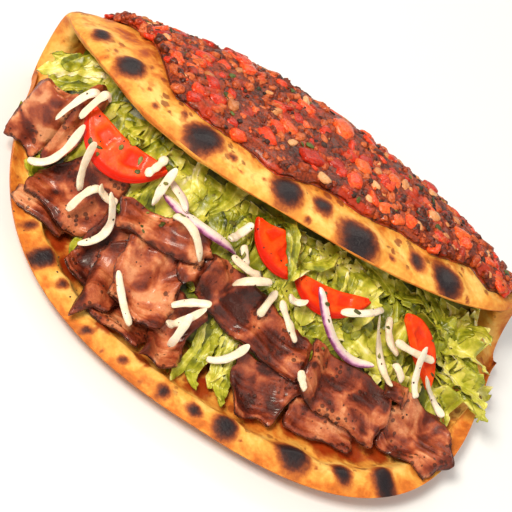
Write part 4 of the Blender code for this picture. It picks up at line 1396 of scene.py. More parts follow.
def place_piece(name: str, faces: tuple[np.ndarray, np.ndarray], values: dict[str, np.ndarray],
                finish: bpy.types.Material, node: str, top: HeightField) -> None:
    """Make a piece of the filling that stands for one solid, and raise the heap by it.

    Args:
        name: name of the piece.
        faces: its upper and lower face as grids of points.
        values: named values per grid point.
        finish: its material.
        node: the solid.
        top: heights of the heap.
    """
    top.raise_to(finer(faces[0]))
    put(name, slab(*faces, values), finish, [node])


SHIFT = np.array(FoldedSheet().shift[:2])


# ---------------------------------------------------------------------------- lettuce
@dataclass(frozen=True)
class LettuceFinish:
    """Crisp shredded lettuce: pale ribs and frilled edges, with painted shade: deeper green in the hollows.
    """

    blade: Stops = (
        (0.0, (58, 66, 8)), (0.22, (118, 124, 20)), (0.46, (172, 172, 42)), (0.70, (212, 206, 84)),
        (0.87, (232, 224, 130)), (1.0, (246, 238, 188)))
    rough: float = 0.38
    scatter: float = 0.20

    def material(self) -> bpy.types.Material:
        """The finish, from the values tone and rib.

        Returns:
            The material.
        """
        b = NodeBoard("shredded_lettuce")
        fine = b.noise(0.0018, 3.0, 0.55)
        broad = b.noise(0.009, 2.0)
        tone = b.add(b.value("tone"), b.fit(broad, 0.3, 0.7, -0.18, 0.20))
        tone = b.add(tone, b.swing(fine, 0.06))
        tone = b.add(tone, b.times(b.value("rib"), 0.34), clamp=True)
        radius = (0.0022, 0.0026, 0.0007)
        b.dress(b.ramp(tone, self.blade), self.rough, 0.14, 0.2, self.scatter, radius)
        b.bump(b.add(b.times(b.value("rib"), 0.8), fine), 0.0006, 0.6)
        return b.material


@dataclass(frozen=True)
class LeafStrip:
    """One shred of lettuce, from its root to its tip, in mm of the plan."""

    start: tuple[float, float]
    end: tuple[float, float]
    bend: float
    wide: float
    ruffle: float
    seed: int
    tip: float | None = None
    rows: int = 40
    cols: int = 13
    thick: float = 0.0007
    frill_pitch: float = 0.0062

    def surface(self, base: HeightField) -> tuple[np.ndarray, np.ndarray, np.ndarray, np.ndarray]:
        """Shape of the shred before it rests on what lies below.

        The middle line is a bent curve. The blade is cupped or leans, a slow wave runs along
        it, and its edges carry a quick frill of about 6 mm that grows with the cube of the
        distance from the rib; the frill also moves the edge in and out.

        Args:
            base: height that the shred follows.

        Returns:
            Points (rows, cols, 3), how far along, how far across from -1 to 1, and how high
            each point stands above what it lies on, in ruffles.
        """
        phase = FULL_TURN * hashed(np.array([[self.seed, k] for k in range(8)]), 77)
        t, w = crossed(np.linspace(0, 1, self.rows), np.linspace(-1, 1, self.cols))
        p0, p2 = np.array(self.start) * MM + SHIFT, np.array(self.end) * MM + SHIFT
        way = unit(p2 - p0)
        side = np.array([-way[1], way[0]])
        sign = np.sign(w)
        turns = FULL_TURN * np.linalg.norm(p2 - p0) / self.frill_pitch
        frill = np.sin(turns * t + phase[2] + 2.1 * sign) + 0.5 * np.sin(1.7 * turns * t + phase[6] * sign)
        sway = self.bend * MM * np.sin(math.pi * t) + 0.8 * MM * np.sin(7.5 * t + phase[0])
        wander = 1.0 + 0.24 * np.sin(5.0 * t + phase[1] + 0.8 * sign) + 0.09 * frill * np.abs(w)
        profile = np.clip(np.sin(math.pi * np.clip(0.16 + 0.84 * t, 0, 1)), 0.0, 1.0) ** 0.45
        lean = 0.85 * np.sin(2.4 * t + phase[3])
        half = 0.5 * self.wide * MM * wander * np.maximum(profile, 0.06)
        across = half * w * np.cos(lean) + sway
        plan = p0 + t[..., None] * (p2 - p0) + across[..., None] * side
        broad = smooth_step(np.array(self.wide), 4.0, 11.0)
        wave = 0.45 * np.sin(5.5 * t + phase[4]) + (0.35 + 0.75 * broad) * np.abs(w) ** 3 * frill
        cup = 0.5 * broad * np.sin(phase[5]) * (w * w - 0.4)
        fold = half * w * np.sin(lean) * (1.0 - 0.45 * broad)
        height = self.ruffle * MM * (0.7 + 0.5 * wave + cup) + fold
        height = height + 0.0004 * soft_noise(plan, 0.0022, self.seed)
        grow = smooth_step(t, -0.1, 0.35)
        z = base.at(plan) + height * grow
        if self.tip is not None:
            root = base.at(p0[None])[0]
            z = np.maximum(z, root + (self.tip * MM - root) * t + height)
        return lifted(plan, z), t, w, height / (self.ruffle * MM)


@dataclass(frozen=True)
class Lettuce:
    """Shredded lettuce over its own core, which fills the fold."""

    bread: Bread = Bread()
    left_end: float = 0.115
    right_end: float = 0.110
    squeeze: float = 0.15
    front: float = 0.038
    front_high: float = 0.0095
    lip_drop: float = 0.0115
    gap: float = 0.0020
    sag: float = -0.0030
    margin: float = 0.0004
    floor_gap: float = 0.0002
    cover_gap: float = 0.0004
    lowest: float = 0.004
    lip_leaves: int = 46
    lip_shreds: int = 30
    slope_leaves: int = 44
    ends: Rows = (
        (-100, -20, -131, -22, 12, 1.8, 3, 39), (-100, -28, -134, -33, 12, 1.8, -3, 36),
        (-100, -35, -127, -41, 9, 1.6, 3, 35), (98, -38, 112, -50, 9, 1.8, 3, 42),
        (96, -48, 118, -64, 9, 1.8, -3, 32), (98, -62, 128, -76, 8, 1.8, 3, 22),
        (96, -68, 115, -84, 9, 1.8, 3, None))
    fronts: Rows = (
        (-15, -98, -21, -132, 6, 1.4, 2, None), (-9, -98, -8, -128, 7, 1.8, -2, None),
        (-4, -98, 6, -131, 7, 1.8, 2, None), (2, -98, -2, -122, 7, 1.4, -3, None))
    high: Rows = (
        (-9, -50, 7, -77, 7, 1.2, 2, None), (27, -52, 7, -77, 7, 1.2, -2, None),
        (60, -49, 92, -54, 8, 1.6, 3, None), (-80, -43, -85, -59, 8, 1.6, -2, None))
    blades: Rows = (
        (30, -42, 60, -54, 9, 2.4, 3, None), (60, -38, 88, -46, 10, 2.4, 4, None),
        (84, -40, 104, -46, 9, 2.4, -3, None), (92, -52, 118, -60, 9, 2.2, 3, 34),
        (94, -58, 124, -72, 9, 2.2, -2, 25), (-96, -24, -112, -40, 12, 2.8, 3, None),
        (-110, -16, -124, -30, 12, 2.6, -3, None), (-70, -36, -78, -58, 12, 3.0, 3, None),
        (-48, -38, -46, -62, 11, 2.8, -3, None), (-30, -38, -38, -64, 12, 3.0, 3, None))

    def core(self) -> tuple[np.ndarray, np.ndarray]:
        """Front slope and back of the core as two grids with shared edges.

        The back follows the bread's inside at a growing depth; the slope is the straight
        line between its ends, sagging by a half sine.

        Returns:
            The slope and the back, (stations, steps, 3).
        """
        sheet = self.bread.sheet
        x = np.linspace(-self.left_end, self.right_end, 90)
        v = np.where(x < 0, -x / self.left_end, x / self.right_end)
        lower, upper = sheet.reach(x)
        first = -lower + self.front * (1.0 + self.squeeze * v**6)
        lip = upper - 0.024
        e = np.linspace(0.0, 1.0, 60)
        s = first[:, None] + (lip - first)[:, None] * e[None]
        xs = np.repeat(x[:, None], 60, 1)
        depth = sheet.thick + self.gap + (self.lip_drop - self.gap) * np.clip(s / lip[:, None], 0.0, 1.0) ** 3
        back = sheet.outer(xs, s) + depth[..., None] * sheet.inward(xs, s)
        start = back[:, :1] + np.array([0.0, 0.0, self.front_high - 0.0056])
        slope = start * (1.0 - e[None, :, None]) + back[:, -1:] * e[None, :, None]
        slope[..., 2] -= self.sag * np.sin(math.pi * e)[None] * (1.0 - 0.4 * v[:, None])
        slope[..., 2] += 0.0012 * layered_noise(slope[..., :2], 0.006, 61) * np.sin(math.pi * e)[None]
        return slope, back

    def rest(self, strip: LeafStrip, base: HeightField, top: HeightField,
             roof: HeightField) -> tuple[Shell, np.ndarray]:
        """Lay a shred on what is there, below whatever lies over it.

        Three times the heights are lifted to the floor, pressed under the cover and evened
        out with their four neighbours. The middle rib and the slanting veins are bell curves.

        Args:
            strip: the shred.
            base: height that it follows.
            top: heights that it may not sink into.
            roof: undersides that it may not rise into.

        Returns:
            Its shell and its upper face.
        """
        points, t, w, raised = strip.surface(base)
        floor = top.at(points) + self.floor_gap
        cover = roof.at(points) - strip.thick - self.cover_gap
        z = points[..., 2]
        for _ in range(3):
            z = np.maximum(z, np.where(t > 0.2, floor, z))
            z = np.minimum(z, np.maximum(cover, self.lowest))
            inner = 0.25 * (z[2:, 1:-1] + z[:-2, 1:-1] + z[1:-1, 2:] + z[1:-1, :-2])
            z[1:-1, 1:-1] = 0.5 * z[1:-1, 1:-1] + 0.5 * inner
        z = np.minimum(z, np.maximum(cover, self.lowest))
        low, high = (np.array(corner[:2]) for corner in solid_box)
        inside = np.clip(points[..., :2], low + self.margin, high - self.margin)
        points = lifted(inside, z)
        edge = np.minimum(1.0 - np.abs(w), 4.0 * np.minimum(t, 1.0 - t))
        over = points.copy()
        over[..., 2] += strip.thick * (0.35 + 0.65 * smooth_step(edge, 0.0, 0.25))
        own = own_number(strip.seed, 9, 5)
        # Painted shade and light: the tone rises with how high a point stands above what it lies on, darker
        # green in the hollows, paler on raised folds.
        tone = 0.10 + 0.42 * own + 0.22 * np.clip(raised, -0.6, 2.0) + 0.10 * np.abs(w) ** 4
        vein = np.abs((t * strip.wide * 0.42 + 0.55 * np.abs(w) + own) % 1.0 - 0.5)
        rib = bell(w, 0.13) * (1.0 - 0.6 * t) + 0.15 * bell(vein, 0.10) * (1.0 - np.abs(w))
        rib = rib * np.clip(strip.wide / 9.0, 0.3, 1.0)
        return slab(over, points, {"tone": tone, "rib": rib}), over

    def strips(self, specs: Rows, copies: int, seed: int) -> list[LeafStrip]:
        """Shreds with a set place, each with narrower and shorter neighbours beside it.

        Args:
            specs: start, end, width, ruffle, bend and tip of each, in mm.
            copies: how many there are of each.
            seed: which offsets.

        Returns:
            The shreds, in the order in which they are laid.
        """
        rng = np.random.default_rng(seed)
        made = []
        for index, (x0, y0, x1, y1, wide, ruffle, bend, tip) in enumerate(specs):
            for copy in range(copies):
                off = rng.normal(0.0, 2.2, 4) * (copy > 0)
                share, short = (1.0, 0.0) if copy == 0 else (0.62, 0.12)
                end = (x1 + off[2] - short * (x1 - x0), y1 + off[3] - short * (y1 - y0))
                made.append(LeafStrip(
                    (x0 + off[0], y0 + off[1]), end, bend * (1 - 2 * (copy % 2)), wide * share, ruffle,
                    seed * 100 + index * 5 + copy, None if tip is None else tip - 1.5 * copy))
        return made

    def lip_line(self, x: np.ndarray) -> np.ndarray:
        """Plan place of the upper flap's lip at x, both in mm of the heap."""
        sheet = self.bread.sheet
        return (sheet.outer(x * MM, sheet.reach(x * MM)[1])[:, 1] - SHIFT[1]) / MM

    def lip_strips(self) -> list[LeafStrip]:
        """Leaves that hang from under the lip: broad frilled ones first, then narrower shreds.

        Each starts behind the lip and runs forward by its length, with its own lean and bend.

        Returns:
            The shreds, in the order in which they are laid.
        """
        rng = np.random.default_rng(7)
        count = self.lip_leaves + self.lip_shreds
        broad = np.arange(count) < self.lip_leaves
        even = np.linspace(-117, 110, self.lip_leaves) + rng.normal(0, 1.5, self.lip_leaves)
        x = np.concatenate([rng.permutation(even), rng.uniform(-116, 110, self.lip_shreds)])
        root = self.lip_line(x)
        long = np.where(broad, rng.uniform(26, 38, count), rng.uniform(20, 34, count))
        back = np.where(broad, 12.5, rng.uniform(8.0, 12.0, count))
        lean = rng.normal(0, 10.0, count)
        wide = np.where(broad, rng.uniform(11.0, 20.0, count), rng.uniform(3.0, 6.5, count))
        ruffle = np.where(broad, rng.uniform(2.2, 3.6, count), rng.uniform(1.2, 2.2, count))
        bend = rng.normal(0, 3.5, count)
        root = root + back
        rows = zip(x, root, x + lean, root - long, bend, wide, ruffle)
        return [LeafStrip(tuple(row[:2]), tuple(row[2:4]), *row[4:], 1000 + k) for k, row in enumerate(rows)]

    def slope_strips(self) -> list[LeafStrip]:
        """Short crumpled leaves lying every way on the slope between lip and meat.

        Returns:
            The shreds, in the order in which they are laid.
        """
        rng = np.random.default_rng(17)
        count = self.slope_leaves
        x = rng.permutation(np.linspace(-104, 104, count)) + rng.normal(0, 2.0, count)
        y = np.maximum(self.lip_line(x) - rng.uniform(8, 34, count), -88.0)
        way = np.radians(rng.normal(-90, 48, count))
        long = rng.uniform(15, 26, count)
        wide = rng.uniform(7.0, 14.0, count)
        ruffle = rng.uniform(2.0, 3.2, count)
        bend = rng.normal(0, 3.0, count)
        dx, dy = 0.5 * long * np.cos(way), 0.5 * long * np.sin(way)
        rows = zip(x - dx, y - dy, x + dx, y + dy, bend, wide, ruffle)
        return [LeafStrip(tuple(row[:2]), tuple(row[2:4]), *row[4:], 3000 + k) for k, row in enumerate(rows)]

    def lay(self, name: str, strips: list[LeafStrip], base: HeightField | None, top: HeightField,
            roof: HeightField, finish: bpy.types.Material, core: list[Shell]) -> None:
        """Lay shreds one after another, each on what is there, and make one piece of them.

        Args:
            name: name of the piece.
            strips: the shreds, in the order in which they are laid.
            base: height that they follow; none for the present height of the heap.
            top: heights of the heap, which each shred raises.
            roof: undersides that they may not rise into.
            finish: the leaf's finish.
            core: form to join to them; the piece with it stands for the solid.
        """
        shells = list(core)
        for strip in strips:
            follow, floor = (base, top) if base else (top.spread(3), top.spread(1))
            shell, over = self.rest(strip, follow, floor, roof)
            top.raise_to(finer(over))
            shells.append(shell)
        put(name, joined(shells), finish, ["lettuce"] if core else [])

    def build_low(self, top: HeightField, roof: HeightField, finish: bpy.types.Material) -> None:
        """Core and the shreds that lie under the other food.

        Args:
            top: heights of the heap so far.
            roof: undersides that nothing may rise into.
            finish: the leaf's finish.
        """
        slope, back = self.core()
        top.raise_to(finer(slope))
        base = top.softened(8, 0.006)
        plain = np.zeros(slope.shape[:2])
        # The core takes a low, dark tone: painted shade where it shows between the shreds.
        core = slab(slope, back, {"tone": plain + 0.12, "rib": plain})
        self.lay("lettuce_slope", self.slope_strips(), base, top, roof, finish, [core])
        self.lay("lettuce_lip", self.lip_strips(), base, top, roof, finish, [])
        ends = self.strips(self.ends, 3, 3) + self.strips(self.blades, 1, 5)
        self.lay("lettuce_ends", ends + self.strips(self.fronts, 2, 4), base, top, roof, finish, [])

    def build_high(self, top: HeightField, roof: HeightField, finish: bpy.types.Material) -> None:
        """The few shreds that lie over tomato and onion."""
        self.lay("lettuce_over", self.strips(self.high, 2, 6), None, top, roof, finish, [])


# ------------------------------------------------------------------------------- meat
@dataclass(frozen=True)
class MeatFinish:
    """Thin roasted slices: pink-brown inside, dark and crisp at the edge, moist."""

    lean: Stops = (
        (0.0, (66, 20, 9)), (0.25, (110, 38, 18)), (0.52, (160, 71, 39)), (0.78, (200, 113, 70)),
        (1.0, (228, 156, 110)))
    crisp: Stops = ((0.0, (122, 50, 26)), (0.5, (84, 32, 18)), (1.0, (48, 18, 11)))
    speck: Colour = (58, 24, 13)

    def material(self) -> bpy.types.Material:
        """The finish, from the values tone, edge and fibre.

        Returns:
            The material.
        """
        b = NodeBoard("roast_meat")
        fine = b.noise(0.0014, 4.0, 0.65)
        broad = b.noise(0.013, 2.0, 0.45, 0.7)
        tone = b.add(b.value("tone"), b.fit(broad, 0.32, 0.68, -0.42, 0.36))
        tone = b.add(tone, b.times(b.value("fibre"), 0.13))
        tone = b.add(tone, b.swing(fine, 0.07), clamp=True)
        colour = b.ramp(tone, self.lean)
        rim = b.add(b.value("edge"), b.fit(b.noise(0.005, 3.0, 0.6), 0.3, 0.7, -0.42, 0.26))
        rim = b.add(rim, b.swing(fine, 0.12))
        crust = b.ramp(b.fit(rim, 0.45, 1.25), self.crisp)
        colour = b.mix(b.fit(rim, 0.30, 0.95, 0.0, 0.92), colour, crust)
        size = b.fit(b.noise(0.011, 1.0), 0.42, 0.66, 0.0, 0.40)
        dots = b.fit(b.minus(size, b.spots(0.0030)), -0.03, 0.08)
        colour = b.mix(b.times(dots, 0.75), colour, self.speck)
        rough = b.fit(fine, 0.3, 0.7, 0.30, 0.58)
        b.dress(colour, rough, 0.24, 0.16, 0.08, (0.003, 0.0012, 0.0008), 0.32)
        relief = b.add(b.times(b.value("fibre"), 0.25), fine)
        b.bump(b.add(relief, b.times(dots, 0.8)), 0.0006, 0.8)
        return b.material


@dataclass(frozen=True)
class MeatSlice:
    """One thin wavy slice, placed as its solid: middle, size and turn in mm and degrees."""

    name: str
    x: float
    y: float
    long: float
    wide: float
    turn: float
    taper: float
    tips: Rows
    thick: float
    fringe: float = 2.2
    per_mm: float = 1.5
    rim_ease: float = 1.35
    corner_cut: float = 1.6
    edge_share: float = 0.34

    def coarse(self, index: int) -> np.ndarray:
        """Plan of the solid's own grid of corners.

        A rectangle with bowed sides, its rim knocked out of line by sines, and its border
        drawn out to each tip by a bell curve.

        Args:
            index: number of the slice.

        Returns:
            The plan in metres, (rows, cols, 2).
        """
        rows, cols = (9 if self.long > 40 else 7), 5
        a, b = crossed(np.linspace(-1, 1, rows), np.linspace(-1, 1, cols))
        seed = 1.7 * index
        rim = np.maximum(np.abs(a), np.abs(b)) > 0.99
        px = a * np.sqrt(1.0 - 0.16 * b * b) * (1.0 + self.taper * b)
        py = b * np.sqrt(1.0 - 0.16 * a * a)
        px = px + rim * (0.05 * np.sin(37.0 * a + 61.0 * b + 3.0 * seed) + 0.06 * np.sin(5.1 * b + seed))
        py = py + rim * (0.09 * np.sin(53.0 * a + 29.0 * b + seed) + 0.08 * np.sin(4.3 * a + seed))
        angle = math.radians(self.turn)
        qx, qy = 0.5 * self.long * px, 0.5 * self.wide * py
        plan = np.stack([qx * math.cos(angle) - qy * math.sin(angle) + self.x,
                         qx * math.sin(angle) + qy * math.cos(angle) + self.y], -1)
        for tip in self.tips:
            away = np.where(rim, np.linalg.norm(plan - tip, axis=2), 1e9)
            ti, tj = np.unravel_index(np.argmin(away), away.shape)
            near = np.exp(-((a - a[ti, tj]) ** 2 + (b - b[ti, tj]) ** 2) / 0.18)
            plan = plan + near[..., None] * (np.array(tip) - plan[ti, tj])
        return plan * MM + SHIFT

    def build(self, index: int, top: HeightField, finish: bpy.types.Material) -> None:
        """The slice on a fine grid through its solid's corners, with a torn, browned rim.

        The grid is closer together at the rim, which noise along it pulls in by up to the
        fringe. The upper face carries fibres and narrow ridges along the slice, a slow
        wrinkle, and a curl that dies away from the rim.

        Args:
            index: number of the slice.
            top: heights of the heap so far.
            finish: its material.
        """
        plan = self.coarse(index)
        grid = lifted(plan, node_lows(self.name, plan))
        counts = [int(side * self.per_mm) + 8 for side in (self.long, self.wide)]
        lines = [np.linspace(-self.rim_ease, self.rim_ease, count) for count in counts]
        a, b = crossed(*(np.sin(line) / math.sin(self.rim_ease) for line in lines))
        line_a = np.stack([0.5 * self.wide * MM * b, 0.01 * np.sign(a) + 0.1 * index], -1)
        line_b = np.stack([0.5 * self.long * MM * a, 0.01 * np.sign(b) + 0.1 * index + 5.0], -1)
        torn_a = np.clip(0.5 + 0.9 * layered_noise(line_a, 0.0034, 81), 0.0, 1.6) * self.fringe / self.long
        torn_b = np.clip(0.5 + 0.9 * layered_noise(line_b, 0.0034, 82), 0.0, 1.6) * self.fringe / self.wide
        corner = (np.abs(a) * np.abs(b)) ** 3
        a2 = a * (1.0 - torn_a * np.abs(a) ** 4 - self.corner_cut / self.long * corner)
        b2 = b * (1.0 - torn_b * np.abs(b) ** 4 - self.corner_cut / self.wide * corner)
        points = spline_at(grid, (a2 + 1) / 2 * (plan.shape[0] - 1), (b2 + 1) / 2 * (plan.shape[1] - 1))
        border = np.minimum((1.0 - np.abs(a)) * 0.5 * self.long, (1.0 - np.abs(b)) * 0.5 * self.wide)
        strand = np.stack([a * self.long * 0.5 * 0.22 + index * 3.0, b * self.wide * 0.5], -1)
        fibre = layered_noise(strand, 1.6, 83, 3)
        ridge = soft_noise(strand * np.array([0.5, 1.0]), 4.2, 86)
        wrinkle = 0.60 * layered_noise(points[..., :2], 0.010, 84, 2) + 0.10 * fibre
        wrinkle = wrinkle + 0.70 * bell(ridge, 0.22) - 0.25
        floor = top.at(points) + 0.0001
        points[..., 2] = np.maximum(points[..., 2], floor)
        over = points.copy()
        edge = smooth_step(border, 0.0, self.fringe)
        curl = np.exp(-border / self.fringe) * np.maximum(0.0, layered_noise(points[..., :2], 0.011, 87))
        grown = self.edge_share + (1.0 - self.edge_share) * edge
        over[..., 2] += self.thick * MM * grown + (wrinkle * edge + 1.3 * curl) * MM
        crisp = np.exp(-border / 1.7) + 0.45 * np.maximum(0.0, layered_noise(points[..., :2], 0.012, 85))
        # Painted light and shade: the tone follows the wrinkle's height, lighter on the ridges and darker in
        # the troughs.
        tone = 0.50 + 0.26 * (own_number(index, 3, 8) - 0.5) + 0.16 * wrinkle
        values = {"tone": tone, "edge": crisp, "fibre": fibre}
        place_piece(self.name + "_slice", (over, points), values, finish, self.name, top)


MEAT = tuple(MeatSlice(*row) for row in (
    ("meat_lower_right", 53, -112, 36, 18, 2, 0.1, ((35, -123), (73, -116)), 2.4),
    ("meat_left_tip", -103, -81, 30, 15, -10, -0.15, ((-118, -84),), 2.4),
    ("meat_left_mid", -94, -73, 38, 25, -14, 0.0, ((-116, -76), (-77, -84)), 2.4),
    ("meat_front_slant", -73, -91, 18, 30, -22, 0.0, ((-68, -109), (-79, -76)), 2.4),
    ("meat_front_left", -53, -113, 34, 20, -8, 0.1, ((-39, -126), (-70, -119)), 2.4),
    ("meat_front_tip", -63, -103, 20, 32, -8, 0.25, ((-74, -130), (-58, -92)), 2.6),
    ("meat_front_mid", -29, -111, 18, 36, 6, -0.1, ((-41, -132), (-25, -130), (-15, -97)), 2.4),
    ("meat_front_fan", 21, -114, 31, 28, 3, 0.35, ((11, -136), (38, -108)), 2.4),
    ("meat_left_curl", -122, -47, 21, 17, -18, 0.1, ((-134, -56), (-117, -66)), 2.6),
    ("meat_left_fold", -107, -49, 12, 30, -14, 0.0, ((-98, -36), (-112, -65)), 2.6),
    ("meat_centre_left", -49, -97, 33, 32, 4, 0.05, ((-37, -116), (-64, -113), (-25, -80)), 2.6),
    ("meat_small_top", -30, -84, 24, 17, -12, 0.1, ((-20, -78), (-35, -96)), 2.2),
    ("meat_top_left", -51, -80, 46, 16, -3, -0.1, ((-77, -73), (-71, -86), (-31, -84)), 2.6),
    ("meat_centre", 3, -92, 60, 22, -11, 0.0, ((-31, -94), (33, -108), (-22, -79)), 2.6),
    ("meat_right_end", 97, -96, 34, 31, -8, 0.1, ((121, -101), (108, -117)), 2.6),
    ("meat_right", 56, -99, 50, 28, -3, 0.05, ((81, -114), (33, -113), (30, -86)), 2.8),
    ("meat_top_right", 79, -87, 15, 12, 6, 0.0, ((87, -92),), 2.2)))


# ------------------------------------------------------------------ tomato and onion
@dataclass(frozen=True)
class TomatoFinish:
    """Ripe tomato: bright flesh, deeper skin, paler walls round the seed pockets."""

    flesh: Stops = ((0.0, (216, 40, 5)), (0.45, (242, 64, 8)), (0.8, (252, 92, 18)), (1.0, (252, 136, 50)))
    skin: Colour = (214, 32, 6)

    def material(self) -> bpy.types.Material:
        """The finish, from the values skin and pulp.

        Returns:
            The material.
        """
        b = NodeBoard("ripe_tomato")
        fine = b.noise(0.0016, 3.0, 0.6)
        tone = b.add(b.value("pulp"), b.swing(b.noise(0.006, 3.0), 0.18))
        tone = b.add(tone, b.swing(fine, 0.06), clamp=True)
        colour = b.mix(b.fit(b.value("skin"), 0.80, 0.97), b.ramp(tone, self.flesh), self.skin)
        b.dress(colour, 0.42, 0.12, 0.12, 0.22, (0.006, 0.0016, 0.0008), 0.16)
        b.bump(b.add(fine, b.value("pulp")), 0.0004, 0.4)
        return b.material


@dataclass(frozen=True)
class TomatoSlice:
    """Half slice between two angles of a round, in mm and degrees."""

    name: str
    x: float
    y: float
    radius: float
    first: float
    last: float
    hollow: float
    thick: float = 5.0
    cut_side: float = 0.12
    rim_round: float = 1.5
    pockets: float = 3.0
    pocket_depth: float = 0.0007

    def plan(self, t: np.ndarray, w: np.ndarray) -> np.ndarray:
        """Plan between the cut side, w = 0, and the arc of the skin, w = 1.

        Args:
            t: share of the way from the first angle to the last.
            w: share of the way from the cut side to the skin.

        Returns:
            The plan in metres, (..., 2).
        """
        angle = np.radians(self.first + (self.last - self.first) * t)
        skin = np.stack([np.cos(angle), np.sin(angle)], -1) * self.radius + (self.x, self.y)
        ends = np.radians([self.first, self.last])
        tips = np.stack([np.cos(ends), np.sin(ends)], -1) * self.radius + (self.x, self.y)
        inset = 0.10 * (tips[1] - tips[0]) * (1.0 - 2.0 * t[..., None])
        back = self.cut_side * (np.array([self.x, self.y]) - 0.5 * (tips[0] + tips[1]))
        chord = tips[0] * (1.0 - t[..., None]) + tips[1] * t[..., None] + 0.5 * inset + back
        cut = chord + self.hollow * np.sin(math.pi * t[..., None]) * (skin - chord)
        return (cut * (1.0 - w[..., None]) + skin * w[..., None]) * MM + SHIFT

    def build(self, top: HeightField, finish: bpy.types.Material) -> None:
        """The slice on the plane of its solid, its rim rounded off.

        The plane is the least squares fit to the solid's lowest corners; the seed pockets
        are smooth steps of a cosine round the slice and of the depth from its cut side.

        Args:
            top: heights of the heap so far.
            finish: its material.
        """
        plan = self.plan(*crossed(np.linspace(0, 1, 11), np.linspace(0, 1, 3)))
        flat = np.stack([np.ones(plan.shape[:2]).ravel(), plan[..., 0].ravel(), plan[..., 1].ravel()], 1)
        slope = np.linalg.lstsq(flat, node_lows(self.name, plan).ravel(), rcond=None)[0]
        t, w = crossed(eased(72), eased(30))
        plan = self.plan(t, w)
        z = slope[0] + slope[1] * plan[..., 0] + slope[2] * plan[..., 1]
        arc = math.radians(abs(self.last - self.first)) * self.radius
        across = self.plan(t, np.ones_like(w)) - self.plan(t, np.zeros_like(w))
        deep = np.linalg.norm(across, axis=-1) / MM
        border = np.minimum(np.minimum(t, 1 - t) * arc, np.minimum(w, 1 - w) * deep)
        full = quarter_round(border / self.rim_round)
        radial = 0.5 + 0.5 * np.cos(2 * math.pi * self.pockets * t)
        pocket = smooth_step(radial, 0.35, 0.75) * smooth_step(w, 0.12, 0.25)
        pocket = pocket * smooth_step(0.68 - w, 0.0, 0.12)
        half = 0.5 * self.thick * MM
        relief = 0.00035 * layered_noise(plan, 0.004, 91) - self.pocket_depth * pocket
        faces = lifted(plan, z + half + half * full + relief * full), lifted(plan, z + half - half * full)
        values = {"skin": w, "pulp": 0.55 - 0.40 * pocket + 0.10 * layered_noise(plan, 0.003, 92)}
        place_piece(self.name + "_slice", faces, values, finish, self.name, top)


TOMATOES = (
    TomatoSlice("tomato_left", -83, -47, 24.5, 185, 322, 0.1, 5.0),
    TomatoSlice("tomato_mid_left", 0, -56, 19.5, 192, 292, -1.05, 5.0),
    TomatoSlice("tomato_mid_right", 27, -57, 22.0, 218, 336, 0.1, 5.0),
    TomatoSlice("tomato_right", 76, -77, 20.0, 6, 122, -0.15, 5.0))


@dataclass(frozen=True)
class OnionFinish:
    """Red onion: white to lilac, a purple skin side, fine lines along it."""

    layers: Stops = (
        (0.0, (244, 232, 214)), (0.40, (240, 218, 218)), (0.70, (212, 164, 192)), (0.9, (156, 82, 132)),
        (1.0, (112, 36, 84)))

    def material(self) -> bpy.types.Material:
        """The finish, from the values outer and line.

        Returns:
            The material.
        """
        b = NodeBoard("red_onion")
        tone = b.add(b.value("outer"), b.times(b.value("line"), 0.10))
        tone = b.add(tone, b.swing(b.noise(0.003, 3.0), 0.10), clamp=True)
        b.dress(b.ramp(tone, self.layers), 0.28, 0.3, 0.15, 0.25, (0.003, 0.002, 0.002))
        b.bump(b.value("line"), 0.0003, 0.6)
        return b.material


@dataclass(frozen=True)
class OnionStrip:
    """Part of a ring of red onion between two angles, in mm and degrees."""

    name: str
    x: float
    y: float
    radius: float
    first: float
    last: float
    wide: float
    thick: float

    def plan(self, t: np.ndarray, w: np.ndarray) -> np.ndarray:
        """Plan along the arc, w = 1 at its outer side, narrower towards both ends.

        Args:
            t: share of the way from the first angle to the last.
            w: share of the way from the inner side to the outer.

        Returns:
            The plan in metres, (..., 2).
        """
        angle = np.radians(self.first + (self.last - self.first) * t)
        taper = 0.75 * bulge(2.0 * t - 1.0, 3) + 0.25
        r = (self.radius - self.wide * (1.0 - w) * taper) * MM
        return np.stack([self.x * MM + r * np.cos(angle), self.y * MM + r * np.sin(angle)], -1) + SHIFT

    def build(self, top: HeightField, finish: bpy.types.Material) -> None:
        """The strip over the cubic curve of its solid, with a rounded section.

        Args:
            top: heights of the heap so far.
            finish: its material.
        """
        t, w = crossed(np.linspace(0, 1, 8), np.linspace(0, 1, 2))
        low = node_lows(self.name, self.plan(t, w))
        rise = np.polynomial.polynomial.polyfit(t.ravel(), low.ravel(), 3)
        t, w = crossed(np.linspace(0, 1, 90), eased(15))
        plan = self.plan(t, w)
        z = np.polynomial.polynomial.polyval(t, rise) + 0.5 * self.thick * MM
        half = 0.5 * self.thick * MM * bulge(2 * w - 1, 3)
        half = half * np.clip(12 * np.minimum(t, 1 - t), 0.25, 1.0) ** 0.5
        line = soft_noise(np.stack([t * 1.5, w * 7.0], -1), 1.0, 95)
        place_piece(self.name + "_strip", (lifted(plan, z + half), lifted(plan, z - half)),
                    {"outer": np.clip(w, 0, 1) ** 2.4, "line": line}, finish, self.name, top)


ONIONS = (
    OnionStrip("onion_left", -36, -51, 30.0, 214, 303, 5.0, 3.0),
    OnionStrip("onion_left_back", -69, -78, 20.0, 5, 62, 4.0, 2.6),
    OnionStrip("onion_right", 46, -61, 29.5, 208, 304, 5.0, 3.0))


